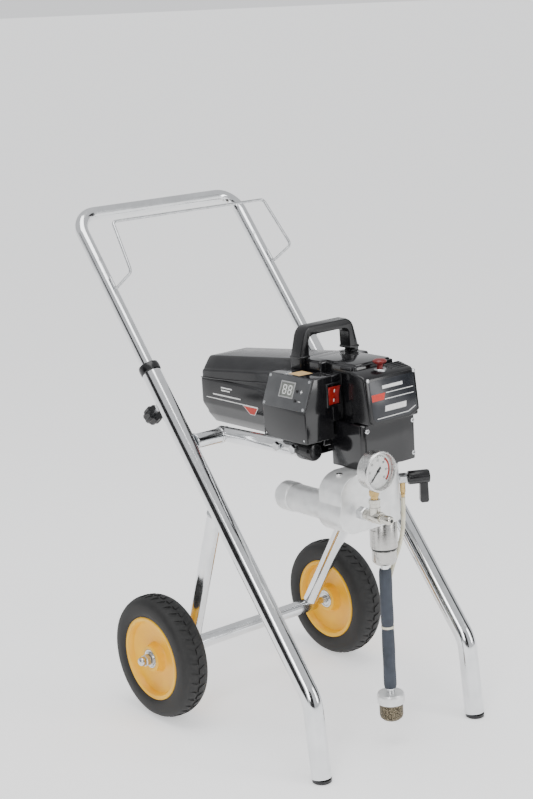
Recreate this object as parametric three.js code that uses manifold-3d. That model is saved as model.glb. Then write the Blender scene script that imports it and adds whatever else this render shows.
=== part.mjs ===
// Airless paint sprayer hung on a two-wheeled tubular cart.
// Millimetres, +Z up. The pump and the feet are at the front (-Y), the wheels and the handle at the back.
// X is across the cart and is zero on its middle plane.
import * as THREE from 'three';
import { mergeVertices } from 'three/addons/utils/BufferGeometryUtils.js';
import Module from 'manifold-3d';

const wasm = await Module();
wasm.setup();

const GAP = 0.3;               // clearance between pieces that touch
const FIT = 0.5;               // clearance of a piece that turns or slides in another

// ---- driving dimensions: the cart ----
const TRACK = 339;             // side tube to side tube, centre lines
const TUBE_RADIUS = 16;
const TUBE_WALL = 1.8;
const LEAN = THREE.MathUtils.degToRad(39.5);        // side tubes lean back from upright
const FOOT_LEAN = THREE.MathUtils.degToRad(7.1);    // feet lean back from upright
const ELBOW = { y: -360, z: 131 };                  // where the two centre lines of a side tube meet
const ELBOW_RADIUS = 60;
const SIDE_TUBE_TOP = 588;
const HANDLE_RADIUS = 11;
const HANDLE_TOP = 830;
const HANDLE_CORNER = 38;
const HANDLE_INSERT = 180;     // length of handle inside each side tube
const COLLAR_HEIGHT = 16;
const COLLAR_WALL = 2.5;
const AXLE_HEIGHT = 105.7;     // also the tyre's radius
const AXLE_RADIUS = 6;
const AXLE_TUBE_RADIUS = 12.5;
const AXLE_TUBE_LENGTH = 292;
const STRUT_RADIUS = 12.5;
const STRUT_FOOT_X = 131.5;
const STRUT_TOP = 396;
const RAIL_RADIUS = 12.5;
const RAIL_X = 89;
const RAIL_HEIGHT = 484;       // where the rails leave their cross stubs
const RAIL_RISE = THREE.MathUtils.degToRad(3.2);
const RAIL_LENGTH = 222;
const RAIL_CAP_LENGTH = 33;
const RACK_WIRE = 2.5;
const WHEEL_X = 196;           // middle plane of each wheel
const WHEEL_WIDTH = 52;
const RIM_RADIUS = 72;
const HUB_BORE = 16;
const AXLE_END = 24;           // length of axle outside each wheel

// ---- driving dimensions: the sprayer, in its own frame ----
// Its origin is level with the start of the rails, y is negative to the front, z is up from the rails.
const TILT = THREE.MathUtils.degToRad(1.5);
const MOTOR_HEIGHT = 54;
const MOTOR_REAR = 100;
const MOTOR_FRONT = -157.7;
const MOTOR_COVER_WIDTH = 120;
const MOTOR_COVER_TOP = 137;
const MOTOR_COVER_TOP_REAR = 112;
const MOTOR_COVER_WALL = 3;
const MOTOR_RADIUS = 46;
const SHAFT_RADIUS = 6;
const CASE_WIDTH = 104;
const CASE_TOP = 140;
const CASE_BOTTOM = 3;
const CASE_REAR = -158;
const CASE_STEP = -204;        // the wide gear case ends and the neck begins
const NECK_WIDTH = 80;
const CASE_WALL = 3;
const PUMP_Y = -275;           // pump centre line
const PUMP_SEAT = -20;         // underside of the pump mount
const MOUNT_WIDTH = 111;
const MOUNT_REAR = -226;
const MOUNT_FRONT = -302;
const MOUNT_TOP = 52;
const COVER_REAR = -272.3;
const COVER_TOP = 127;
const SHIELD_THICKNESS = 3;
const PINION = { teeth: 12, module: 1.25 };
const WHEEL_GEAR = { teeth: 40, module: 1.25 };
const SMALL_GEAR = { teeth: 13, module: 1.5 };
const CRANK_GEAR = { teeth: 45, module: 1.5 };
const CRANK_THROW = 9;
const CRANK_PIN = 6;
const ROD_RADIUS = 7;
const PISTON_RADIUS = 13.5;
const CYLINDER_RADIUS = 22;
const CYLINDER_LENGTH = 73;
const BLOCK_HEIGHT = 92;
const BLOCK_DEPTH = 52;
const BLOCK_NOSE = 28;         // radius of the upright nose around the piston rod
const FILTER_X = -79;
const FILTER_RADIUS = 22.5;
const FILTER_BOWL = 87;
const FILTER_CAP = 33;
const FILTER_LOBE = 32;
const GAUGE_RADIUS = 31.5;
const GAUGE_DEPTH = 25;
const GAUGE_HEIGHT = 73;       // gauge centre above the outlet tee
const TEE_Y = -345;
const VALVE_HEIGHT = -50;
const VALVE_TURN = THREE.MathUtils.degToRad(30);    // the prime valve faces this far forward of +X
const SUCTION_RADIUS = 7;
const SUCTION_END = -408;
const SLEEVE_RADIUS = 10.5;
const SLEEVE_TOP = -194;
const SLEEVE_END = -395;
const STRAINER_RADIUS = 22.5;
const BOX_OUTER = -120;        // control box's outer face
const BOX_INNER = -62.6;
const BOX_FRONT = -243;
const BOX_REAR = -141;
const BOX_BOTTOM = 26;
const BOX_TOP = 125;
const BOX_WALL = 2;
const WING_INNER = -41;        // the box reaches this far in, in front of the gear case
const PANEL_LOW = 75.5;        // where the sloping panel leaves the upright side
const PANEL_INSET = 20;        // how far it leans in
const GRIP_Y = -157;           // carry handle's middle plane
const GRIP_DEPTH = 24;
const GRIP_WIDTH = 124;
const GRIP_TOP = 190;
const GRIP_BAR = 15;
const BUTTON_TRAVEL = 1.5;

// ---- materials ----
const finish = (color, roughness, metalness) => new THREE.MeshStandardMaterial({ color, roughness, metalness });
const chrome = finish(0xd9dbdd, 0.15, 1);
const zinc = finish(0xb9bcbc, 0.35, 0.9);
const steel = finish(0xc4c4c0, 0.25, 1);
const brass = finish(0xb08a3a, 0.3, 1);
const aluminium = finish(0xdcded9, 0.4, 0.8);
const blackPlastic = finish(0x141415, 0.35, 0);
const blackPaint = finish(0x17181a, 0.3, 0.1);
const greyPanel = finish(0x8f9193, 0.5, 0);
const shieldGrey = finish(0x2b2d31, 0.3, 0);
const rubber = finish(0x1c1c1d, 0.85, 0);
const yellow = finish(0xe9ab12, 0.45, 0);
const red = finish(0xb01c14, 0.35, 0);
const darkRed = finish(0x6b1512, 0.4, 0);
const foam = finish(0x44484f, 0.95, 0);
const mesh = finish(0x5d5646, 0.6, 0.6);
const clearHose = finish(0xe6e0c4, 0.3, 0);
const copper = finish(0x8a4a2a, 0.5, 0.6);
const greenBoard = finish(0x1d5a34, 0.5, 0);
const white = finish(0xf0f0ec, 0.4, 0);

// ---- making and joining solids ----
const v = (x, y, z) => new THREE.Vector3(x, y, z);

function welded(geometry) {
  const bare = geometry.clone();
  bare.deleteAttribute('normal');
  bare.deleteAttribute('uv');
  const merged = mergeVertices(bare, 1e-4);
  const place = merged.attributes.position;
  const index = Array.from(merged.index.array);
  const kept = [];
  let volume = 0;
  for (let i = 0; i < index.length; i += 3) {
    const [a, b, c] = index.slice(i, i + 3);
    if (a === b || b === c || c === a) continue;
    kept.push(a, b, c);
    const corner = (k) => v(place.getX(k), place.getY(k), place.getZ(k));
    volume += corner(a).dot(corner(b).cross(corner(c)));
  }
  if (volume < 0) kept.reverse();
  merged.setIndex(kept);
  return merged;
}

function solid(geometry) {
  const body = welded(geometry);
  return new wasm.Manifold(new wasm.Mesh({
    numProp: 3,
    vertProperties: new Float32Array(body.attributes.position.array),
    triVerts: new Uint32Array(body.index.array),
  }));
}

function geometryOf(manifold) {
  const result = manifold.getMesh();
  const geometry = new THREE.BufferGeometry();
  geometry.setAttribute('position', new THREE.BufferAttribute(result.vertProperties, 3));
  geometry.setIndex(new THREE.BufferAttribute(result.triVerts, 1));
  return geometry;
}

function joined(...geometries) {
  return geometries.map(solid).reduce((all, one) => all.add(one));
}

function cut(body, ...tools) {
  const start = body instanceof THREE.BufferGeometry ? solid(body) : body;
  return tools.map(solid).reduce((left, tool) => left.subtract(tool), start);
}

function addMesh(parent, name, shape, material) {
  const geometry = shape instanceof THREE.BufferGeometry ? welded(shape) : geometryOf(shape);
  const node = new THREE.Mesh(geometry, material);
  node.name = name;
  parent.add(node);
  return node;
}

// A block between two opposite corners.
function block(low, high) {
  const box = new THREE.BoxGeometry(high[0] - low[0], high[1] - low[1], high[2] - low[2]);
  box.translate((low[0] + high[0]) / 2, (low[1] + high[1]) / 2, (low[2] + high[2]) / 2);
  return box;
}

const ALONG = {
  x: (geometry) => geometry.rotateZ(-Math.PI / 2),
  y: (geometry) => geometry,
  z: (geometry) => geometry.rotateX(Math.PI / 2),
};

// A turned piece: profile points are [radius, distance along the axis].
function turned(axis, profile, sides) {
  const lathe = new THREE.LatheGeometry(profile.map(([r, s]) => new THREE.Vector2(r, s)), sides);
  return ALONG[axis](lathe);
}

function rod(axis, radius, from, to, sides) {
  return turned(axis, [[0, from], [radius, from], [radius, to], [0, to]], sides);
}

function ring(axis, inner, outer, from, to, sides) {
  return turned(axis, [[inner, from], [outer, from], [outer, to], [inner, to], [inner, from]], sides);
}

// A profile of [x, z] points carried along y.
function extrudeY(points, front, rear) {
  const shape = new THREE.Shape(points.map(([x, z]) => new THREE.Vector2(x, z)));
  const body = new THREE.ExtrudeGeometry(shape, { depth: rear - front, bevelEnabled: false });
  return body.rotateX(Math.PI / 2).translate(0, rear, 0);
}

// A profile of [y, z] points carried along x.
function extrudeX(points, left, right) {
  const shape = new THREE.Shape(points.map(([y, z]) => new THREE.Vector2(y, z)));
  const body = new THREE.ExtrudeGeometry(shape, { depth: right - left, bevelEnabled: false });
  const turn = new THREE.Matrix4().makeBasis(v(0, 1, 0), v(0, 0, 1), v(1, 0, 0));
  return body.applyMatrix4(turn).translate(left, 0, 0);
}

// A route through given points, which a tube follows exactly, mitred at each point.
class Route extends THREE.Curve {
  constructor(points) {
    super();
    this.points = points;
  }

  getPoint(t) {
    const last = this.points.length - 1;
    const i = Math.min(Math.floor(t * last + 1e-9), last - 1);
    return this.points[i].clone().lerp(this.points[i + 1], t * last - i);
  }

  getPointAt(t) {
    return this.getPoint(t);
  }

  getTangentAt(t) {
    const last = this.points.length - 1;
    const i = Math.round(t * last);
    const before = this.points[Math.max(i, 1)].clone().sub(this.points[Math.max(i, 1) - 1]).normalize();
    const j = Math.min(i, last - 1);
    const after = this.points[j + 1].clone().sub(this.points[j]).normalize();
    return before.add(after).normalize();
  }
}

function roundedPoints(corners, radius, arcSteps) {
  const points = [corners[0]];
  for (let i = 1; i < corners.length - 1; i += 1) {
    const back = corners[i - 1].clone().sub(corners[i]).normalize();
    const ahead = corners[i + 1].clone().sub(corners[i]).normalize();
    const half = back.angleTo(ahead) / 2;
    const middle = back.clone().add(ahead).normalize().multiplyScalar(radius / Math.sin(half));
    const centre = corners[i].clone().add(middle);
    const reach = radius / Math.tan(half);
    const start = corners[i].clone().addScaledVector(back, reach).sub(centre);
    const axis = start.clone().cross(corners[i].clone().addScaledVector(ahead, reach).sub(centre)).normalize();
    for (let s = 0; s <= arcSteps; s += 1) {
      const turn = (Math.PI - 2 * half) * (s / arcSteps);
      points.push(start.clone().applyAxisAngle(axis, turn).add(centre));
    }
  }
  points.push(corners[corners.length - 1]);
  return points;
}

function tube(points, radius, sides) {
  const section = new THREE.Shape();
  for (let k = 0; k < sides; k += 1) {
    const angle = (2 * Math.PI * (k + 0.5)) / sides;
    const corner = [radius * Math.cos(angle), radius * Math.sin(angle)];
    if (k === 0) section.moveTo(...corner);
    else section.lineTo(...corner);
  }
  section.closePath();
  const route = new Route(points);
  return new THREE.ExtrudeGeometry(section, { steps: points.length - 1, extrudePath: route });
}

const straight = (from, to, radius, sides) => tube([from, to], radius, sides);

// ---- the cart ----
// Unit vector up along a side tube, and the point of its centre line at a given height.
const upTube = v(0, Math.sin(LEAN), Math.cos(LEAN));
const onTube = (x, z) => v(x, ELBOW.y + (z - ELBOW.z) * Math.tan(LEAN), z);
const FOOT_Y = ELBOW.y - ELBOW.z * Math.tan(FOOT_LEAN);
const FOOT_PLUG = 6;

function footPoint(x, z) {
  return v(x, FOOT_Y + z * Math.tan(FOOT_LEAN), z);
}

function sideTube(x) {
  const corners = [footPoint(x, FOOT_PLUG + GAP), v(x, ELBOW.y, ELBOW.z), onTube(x, SIDE_TUBE_TOP)];
  const longer = [footPoint(x, -5), v(x, ELBOW.y, ELBOW.z), onTube(x, SIDE_TUBE_TOP + 10)];
  const outside = tube(roundedPoints(corners, ELBOW_RADIUS, 4), TUBE_RADIUS, 16);
  const bore = tube(roundedPoints(longer, ELBOW_RADIUS, 4), TUBE_RADIUS - TUBE_WALL, 16);
  const level = block([x - 60, FOOT_Y - 60, -60], [x + 60, FOOT_Y + 60, FOOT_PLUG + GAP]);
  return cut(outside, bore, level);
}

function footPlug(x) {
  const flange = straight(footPoint(x, -10), footPoint(x, FOOT_PLUG), TUBE_RADIUS, 16);
  const spigot = straight(footPoint(x, 2), footPoint(x, FOOT_PLUG + 24), TUBE_RADIUS - TUBE_WALL - GAP, 16);
  const floor = block([x - 60, FOOT_Y - 60, -60], [x + 60, FOOT_Y + 60, 0]);
  return joined(flange, spigot).subtract(solid(floor));
}

function collar(x) {
  const base = onTube(x, SIDE_TUBE_TOP).addScaledVector(upTube, GAP);
  const top = base.clone().addScaledVector(upTube, COLLAR_HEIGHT);
  const outside = straight(base, top, TUBE_RADIUS + COLLAR_WALL, 16);
  const bore = straight(onTube(x, SIDE_TUBE_TOP - 20), onTube(x, SIDE_TUBE_TOP + 60), HANDLE_RADIUS + FIT, 16);
  return cut(outside, bore);
}

// The tube that pieces welded to a side tube are cut away by.
function weldCutter(x) {
  return straight(onTube(x, 200), onTube(x, SIDE_TUBE_TOP), TUBE_RADIUS + GAP, 16);
}

const strutFoot = (side) => v(side * STRUT_FOOT_X, 0, AXLE_HEIGHT);

function strut(side) {
  const ends = [strutFoot(side), onTube(side * TRACK / 2, STRUT_TOP)];
  const body = straight(...ends, STRUT_RADIUS, 12);
  const axleCut = rod('x', AXLE_TUBE_RADIUS + GAP, -AXLE_TUBE_LENGTH, AXLE_TUBE_LENGTH, 12);
  const bore = straight(...ends, STRUT_RADIUS - TUBE_WALL, 12);
  return cut(body, weldCutter(side * TRACK / 2), axleCut.translate(0, 0, AXLE_HEIGHT), bore);
}

function axleTube() {
  const half = AXLE_TUBE_LENGTH / 2;
  return ring('x', AXLE_RADIUS + FIT, AXLE_TUBE_RADIUS, -half, half, 12).translate(0, 0, AXLE_HEIGHT);
}

const HUB_HALF = WHEEL_WIDTH / 2 - 2;

function axle() {
  const half = WHEEL_X + HUB_HALF + AXLE_END;
  return rod('x', AXLE_RADIUS, -half, half, 12).translate(0, 0, AXLE_HEIGHT);
}

// Rails are drawn about the point where the middle plane crosses the two cross stubs.
const railStart = onTube(0, RAIL_HEIGHT);

function rail(side) {
  const ahead = v(0, -Math.cos(RAIL_RISE), Math.sin(RAIL_RISE));
  const corner = v(side * RAIL_X, railStart.y, railStart.z);
  const root = v(side * TRACK / 2, railStart.y, railStart.z);
  const at = (distance) => corner.clone().addScaledVector(ahead, distance);
  const inner = RAIL_RADIUS - TUBE_WALL;
  const stub = straight(root, corner.clone().add(v(-side * 6, 0, 0)), RAIL_RADIUS, 12);
  const runner = straight(at(-RAIL_RADIUS), at(RAIL_LENGTH), RAIL_RADIUS, 12);
  return cut(
    joined(stub, runner),
    weldCutter(side * TRACK / 2),
    straight(root, corner, inner, 12),
    straight(at(-RAIL_RADIUS + 2), at(RAIL_LENGTH + 5), inner, 12),
  );
}

function railCap(side) {
  const ahead = v(0, -Math.cos(RAIL_RISE), Math.sin(RAIL_RISE));
  const end = v(side * RAIL_X, railStart.y, railStart.z).addScaledVector(ahead, RAIL_LENGTH);
  const start = end.clone().addScaledVector(ahead, 6 - RAIL_CAP_LENGTH);
  const tip = end.clone().addScaledVector(ahead, 6);
  const shell = straight(start, tip, RAIL_RADIUS + 2.5, 12);
  const bore = straight(start.clone().addScaledVector(ahead, -5), end.clone().addScaledVector(ahead, GAP),
    RAIL_RADIUS + GAP, 12);
  return cut(shell, bore);
}

function handleBow() {
  const low = SIDE_TUBE_TOP - HANDLE_INSERT * Math.cos(LEAN);
  const half = TRACK / 2;
  const corners = [onTube(-half, low), onTube(-half, HANDLE_TOP), onTube(half, HANDLE_TOP), onTube(half, low)];
  const beyond = corners.map((corner, i) => (i % 3 === 0 ? corner.clone().addScaledVector(upTube, -5) : corner));
  const bore = tube(roundedPoints(beyond, HANDLE_CORNER, 5), HANDLE_RADIUS - TUBE_WALL, 12);
  return cut(tube(roundedPoints(corners, HANDLE_CORNER, 5), HANDLE_RADIUS, 12), bore);
}

function hoseRack() {
  const half = TRACK / 2;
  const legGap = HANDLE_RADIUS + RACK_WIRE + GAP;
  const ahead = v(0, -Math.cos(LEAN), Math.sin(LEAN));
  const leg = (side, z) => onTube(side * half, z).addScaledVector(ahead, legGap);
  const hook = (side) => [
    leg(side, 727),
    leg(side, 709),
    v(side * (half + 1), 56, 752),
    v(side * (half - 9), 116, 828),
  ];
  const corners = [...hook(-1), ...hook(1).reverse()];
  return tube(roundedPoints(corners, 7, 3), RACK_WIRE, 8);
}

const CLAMP_HEIGHT = 547;

function clampKnob(side) {
  const outward = v(0, Math.cos(LEAN), -Math.sin(LEAN));
  const centre = onTube(side * TRACK / 2, CLAMP_HEIGHT);
  const at = (distance) => centre.clone().addScaledVector(outward, distance);
  const stud = straight(at(TUBE_RADIUS + GAP), at(42), 4, 8);
  const grip = straight(at(38), at(58), 16, 12);
  return joined(stud, grip);
}

function tyre(side) {
  const half = WHEEL_WIDTH / 2;
  const inner = RIM_RADIUS + GAP;
  const profile = [
    [inner, -half + 3], [inner + 9, -half], [AXLE_HEIGHT - 14, -half], [AXLE_HEIGHT - 3, -half + 7],
    [AXLE_HEIGHT, -half + 14], [AXLE_HEIGHT, half - 14], [AXLE_HEIGHT - 3, half - 7],
    [AXLE_HEIGHT - 14, half], [inner + 9, half], [inner, half - 3], [inner, -half + 3],
  ];
  return turned('x', profile, 40).translate(side * WHEEL_X, 0, AXLE_HEIGHT);
}

function wheelHub(side) {
  const lip = WHEEL_WIDTH / 2 - 2;
  const boss = 23;
  const profile = [
    [HUB_BORE, -HUB_HALF], [boss, -HUB_HALF], [boss + 3, -9], [RIM_RADIUS - 12, -9], [RIM_RADIUS - 8, -lip],
    [RIM_RADIUS, -lip], [RIM_RADIUS, lip], [RIM_RADIUS - 8, lip], [RIM_RADIUS - 12, 9],
    [boss + 3, 9], [boss, HUB_HALF], [HUB_BORE, HUB_HALF], [HUB_BORE, -HUB_HALF],
  ];
  return turned('x', profile, 32).translate(side * WHEEL_X, 0, AXLE_HEIGHT);
}

function wheelBearing(side) {
  const body = ring('x', AXLE_RADIUS + FIT, HUB_BORE - GAP, -HUB_HALF, HUB_HALF, 16);
  return body.translate(side * WHEEL_X, 0, AXLE_HEIGHT);
}

function buildCart() {
  const cart = new THREE.Group();
  for (const [side, word] of [[-1, 'left'], [1, 'right']]) {
    const x = side * TRACK / 2;
    addMesh(cart, `side_tube_${word}`, sideTube(x), chrome);
    addMesh(cart, `foot_plug_${word}`, footPlug(x), blackPlastic);
    addMesh(cart, `collar_${word}`, collar(x), blackPlastic);
    addMesh(cart, `strut_${word}`, strut(side), chrome);
    addMesh(cart, `rail_${word}`, rail(side), chrome);
    addMesh(cart, `rail_cap_${word}`, railCap(side), blackPlastic);
    addMesh(cart, `clamp_knob_${word}`, clampKnob(side), blackPlastic);
    addMesh(cart, `tyre_${word}`, tyre(side), rubber);
    addMesh(cart, `wheel_hub_${word}`, wheelHub(side), yellow);
    addMesh(cart, `wheel_bearing_${word}`, wheelBearing(side), steel);
  }
  addMesh(cart, 'axle_tube', axleTube(), chrome);
  addMesh(cart, 'axle', axle(), steel);
  addMesh(cart, 'handle_bow', handleBow(), chrome);
  addMesh(cart, 'hose_rack', hoseRack(), zinc);
  return cart;
}

// ---- the motor ----
const CENTRES = {
  motor: MOTOR_HEIGHT,
  idler: MOTOR_HEIGHT + ((PINION.teeth + WHEEL_GEAR.teeth) * PINION.module) / 2,
};
CENTRES.crank = CENTRES.idler - ((SMALL_GEAR.teeth + CRANK_GEAR.teeth) * SMALL_GEAR.module) / 2;

// Half of the cover's outline, from the bottom round to the top, drawn in by a wall.
function coverOutline(inset) {
  const w = MOTOR_COVER_WIDTH / 2 - inset;
  const roof = CASE_WIDTH / 2 - inset;
  const bottom = -4 + inset;
  const right = [[w - 26, bottom], [w - 12, 14], [w, 34], [w, 84], [roof, 100], [roof - 12, MOTOR_COVER_TOP - inset]];
  const left = right.map(([x, z]) => [-x, z]).reverse();
  return [...right, ...left];
}

function coverSlope(inset) {
  const drop = MOTOR_COVER_TOP - MOTOR_COVER_TOP_REAR;
  const far = MOTOR_REAR + 40;
  const farDrop = (drop * (far - MOTOR_FRONT)) / (MOTOR_REAR - MOTOR_FRONT);
  const top = MOTOR_COVER_TOP - inset;
  return extrudeX([[MOTOR_FRONT - 40, top + 60], [MOTOR_FRONT - 40, top], [MOTOR_FRONT, top], [far, top - farDrop],
    [far, top + 60]], -100, 100);
}

function motorCover() {
  const outside = cut(extrudeY(coverOutline(0), MOTOR_FRONT, MOTOR_REAR), coverSlope(0));
  const inside = cut(
    extrudeY(coverOutline(MOTOR_COVER_WALL), MOTOR_FRONT - 5, MOTOR_REAR - MOTOR_COVER_WALL),
    coverSlope(MOTOR_COVER_WALL),
  );
  return outside.subtract(inside);
}

const STATOR = { front: -120, rear: 45 };

function motorFrame() {
  const shell = ring('y', MOTOR_RADIUS - 9, MOTOR_RADIUS, STATOR.front, STATOR.rear, 20);
  const plate = ring('y', SHAFT_RADIUS + FIT, MOTOR_RADIUS, STATOR.front - 6, STATOR.front + 1, 20);
  return joined(shell, plate).translate([0, 0, MOTOR_HEIGHT]);
}

function gearShape({ teeth, module }, phase) {
  const pitch = (module * teeth) / 2;
  const step = (2 * Math.PI) / teeth;
  const root = pitch - 1.15 * module;
  const tip = pitch + 0.85 * module;
  const points = [];
  for (let k = 0; k < teeth; k += 1) {
    const middle = phase + k * step;
    for (const [radius, offset] of [[root, -0.27], [tip, -0.11], [tip, 0.11], [root, 0.27]]) {
      const angle = middle + offset * step;
      points.push([radius * Math.cos(angle), radius * Math.sin(angle)]);
    }
  }
  return points;
}

const GEAR = { motorFront: -183, motorRear: -167, crankFront: -199, crankRear: -186 };
const UP = Math.PI / 2;
const DOWN = -Math.PI / 2;
const halfTooth = (gear) => Math.PI / gear.teeth;

function rotor() {
  const shaft = rod('y', SHAFT_RADIUS, STATOR.rear + 35, GEAR.motorRear + 2, 12);
  const core = rod('y', MOTOR_RADIUS - 11, STATOR.front + 20, STATOR.rear - 15, 16);
  const commutator = rod('y', 14, STATOR.front + 8, STATOR.front + 21, 16);
  const fan = rod('y', MOTOR_RADIUS - 6, STATOR.rear + 8, STATOR.rear + 18, 16);
  const pinion = extrudeY(gearShape(PINION, UP), GEAR.motorFront, GEAR.motorRear + 3);
  return joined(shaft, core, commutator, fan, pinion).translate([0, 0, CENTRES.motor]);
}

function gearCluster() {
  const large = extrudeY(gearShape(WHEEL_GEAR, DOWN + halfTooth(WHEEL_GEAR)), GEAR.motorFront, GEAR.motorRear);
  const small = extrudeY(gearShape(SMALL_GEAR, DOWN), GEAR.crankFront, GEAR.motorFront + 1);
  const pin = rod('y', 4, -200.5, GEAR.motorRear + 4, 10);
  return joined(large, small, pin).translate([0, 0, CENTRES.idler]);
}

const CRANK = { discFront: -262, discRear: -252, pinFront: -286 };

function crank() {
  const gear = extrudeY(gearShape(CRANK_GEAR, UP + halfTooth(CRANK_GEAR)), GEAR.crankFront, GEAR.crankRear);
  const shaft = rod('y', 11, CRANK.discRear - 1, GEAR.crankRear + 1, 16);
  const disc = rod('y', 19, CRANK.discFront, CRANK.discRear, 20);
  const pin = rod('y', CRANK_PIN, CRANK.pinFront, CRANK.discFront + 1, 12).translate(0, 0, CRANK_THROW);
  return joined(gear, shaft, disc, pin).translate([0, 0, CENTRES.crank]);
}

// The yoke's window is open enough for the crank pin to turn wherever the piston stands.
const YOKE = { halfWidth: CRANK_THROW + CRANK_PIN + 2, halfHeight: 2 * CRANK_THROW + CRANK_PIN + 2, rim: 5 };
const PIN_HEIGHT = CENTRES.crank + CRANK_THROW;

function driveYoke() {
  const { halfWidth: w, halfHeight: h, rim } = YOKE;
  const front = PUMP_Y - 8;
  const rear = PUMP_Y + 8;
  const plate = block([-w - rim, front, PIN_HEIGHT - h - rim - 6], [w + rim, rear, PIN_HEIGHT + h + rim]);
  const window = block([-w, front - 5, PIN_HEIGHT - h], [w, rear + 5, PIN_HEIGHT + h]);
  return cut(plate, window);
}

const YOKE_FOOT = PIN_HEIGHT - YOKE.halfHeight - YOKE.rim - 6;
const BLOCK_TOP = PUMP_SEAT - GAP;
const BLOCK_BOTTOM = BLOCK_TOP - BLOCK_HEIGHT;
const FILTER = { x: FILTER_X, z: BLOCK_BOTTOM + FILTER_LOBE };
const PISTON = { top: BLOCK_BOTTOM - 10, length: 22 };

function pistonRod() {
  const { top, length } = PISTON;
  const profile = [
    [0, YOKE_FOOT - GAP], [11, YOKE_FOOT - GAP], [11, YOKE_FOOT - 6], [ROD_RADIUS, YOKE_FOOT - 9],
    [ROD_RADIUS, top], [PISTON_RADIUS, top], [PISTON_RADIUS, top - length], [0, top - length],
  ];
  return turned('z', profile.reverse(), 16).translate(0, PUMP_Y, 0);
}

// ---- the drive housing ----
function gearHousing() {
  const half = CASE_WIDTH / 2;
  const neck = NECK_WIDTH / 2;
  const mount = MOUNT_WIDTH / 2;
  const shell = joined(
    block([-half, CASE_STEP, CASE_BOTTOM], [half, CASE_REAR, CASE_TOP]),
    block([-neck, COVER_REAR + GAP, CASE_BOTTOM], [neck, CASE_STEP + 1, CASE_TOP - 2]),
    block([-mount, MOUNT_FRONT, PUMP_SEAT], [mount, MOUNT_REAR, MOUNT_TOP]),
  );
  return cut(
    shell,
    block([-half + CASE_WALL, CASE_STEP + CASE_WALL, CASE_BOTTOM + CASE_WALL], [half - CASE_WALL, CASE_REAR + 5,
      CASE_TOP - CASE_WALL]),
    block([-neck + CASE_WALL, COVER_REAR - 5, CASE_BOTTOM + CASE_WALL], [neck - CASE_WALL, CASE_STEP - 1,
      CASE_TOP - 2 - CASE_WALL]),
    block([-neck + CASE_WALL, MOUNT_FRONT + CASE_WALL, PUMP_SEAT + CASE_WALL], [neck - CASE_WALL,
      MOUNT_REAR - CASE_WALL, MOUNT_TOP + 10]),
    rod('y', 11 + FIT, CASE_STEP - 10, CASE_STEP + 10, 16).translate(0, 0, CENTRES.crank),
    rod('z', 11 + FIT, PUMP_SEAT - 5, PUMP_SEAT + 10, 16).translate(0, PUMP_Y, 0),
  );
}

// Side outline of the front cover: its face leans so that the lower edge is further forward.
const FACE_LEAN = 8;

function faceOutline(inset) {
  const front = MOUNT_FRONT - 2 + inset;
  return [
    [COVER_REAR, MOUNT_TOP + GAP], [front - FACE_LEAN, MOUNT_TOP + GAP], [front, COVER_TOP - 4 - inset],
    [front + 5, COVER_TOP - inset], [COVER_REAR, COVER_TOP + 6 - inset],
  ];
}

const BUTTON = { x: -3, y: -287 };

function frontCover() {
  const half = CASE_WIDTH / 2;
  const wall = CASE_WALL;
  const hollow = faceOutline(wall).map(([y, z]) => [y === COVER_REAR ? y + 5 : y, z < MOUNT_TOP + 5 ? z - 10 : z]);
  return cut(
    extrudeX(faceOutline(0), -half, half),
    extrudeX(hollow, -half + wall, half - wall),
    rod('z', 5 + FIT, COVER_TOP - 20, COVER_TOP + 20, 12).translate(BUTTON.x, BUTTON.y, 0),
  );
}

function labelPlate() {
  const half = CASE_WIDTH / 2;
  const height = COVER_TOP - 2 - MOUNT_TOP;
  const outline = [
    [-half, height - 1], [half, height - 1], [half, 6], [half - 20, 0], [-half + 4, 0], [-half, 6],
  ];
  const lean = Math.atan2(FACE_LEAN, COVER_TOP - 4 - MOUNT_TOP - GAP);
  const shield = extrudeY(outline, -SHIELD_THICKNESS, 0).rotateX(lean);
  return shield.translate(0, MOUNT_FRONT - 2 - FACE_LEAN - GAP * 1.5, MOUNT_TOP + GAP);
}

const OILER_TRAVEL = 4;

function oilerButton() {
  const seat = COVER_TOP + 4;
  const profile = [
    [0, seat - 14], [5, seat - 14], [5, seat + OILER_TRAVEL + 2], [7, seat + OILER_TRAVEL + 3],
    [11, seat + 11], [11, seat + 13], [8, seat + 15], [0, seat + 16],
  ];
  return turned('z', profile, 16).translate(BUTTON.x, BUTTON.y, 0);
}

// The carry handle stands on two feet that clasp the sides of the gear case.
function carryHandle() {
  const half = GRIP_WIDTH / 2;
  const foot = CASE_WIDTH / 2 + GAP;
  const low = 119;
  const seat = CASE_TOP + GAP;
  const outline = [
    [-foot, low], [-foot, seat], [-foot + 10, seat], [-half + 22, GRIP_TOP - GRIP_BAR - 5],
    [-half + 28, GRIP_TOP - GRIP_BAR], [half - 28, GRIP_TOP - GRIP_BAR], [half - 22, GRIP_TOP - GRIP_BAR - 5],
    [foot - 10, seat], [foot, seat], [foot, low], [half, low], [half, seat + 2], [half - 10, GRIP_TOP - 10],
    [half - 20, GRIP_TOP], [-half + 20, GRIP_TOP], [-half + 10, GRIP_TOP - 10], [-half, seat + 2], [-half, low],
  ];
  return extrudeY(outline, GRIP_Y - GRIP_DEPTH / 2, GRIP_Y + GRIP_DEPTH / 2);
}

// A steel tray that bolts the sprayer between the two rails.
const TRAY = { low: -8, thickness: 3, flange: 22, front: -200, rear: -108 };

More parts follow.
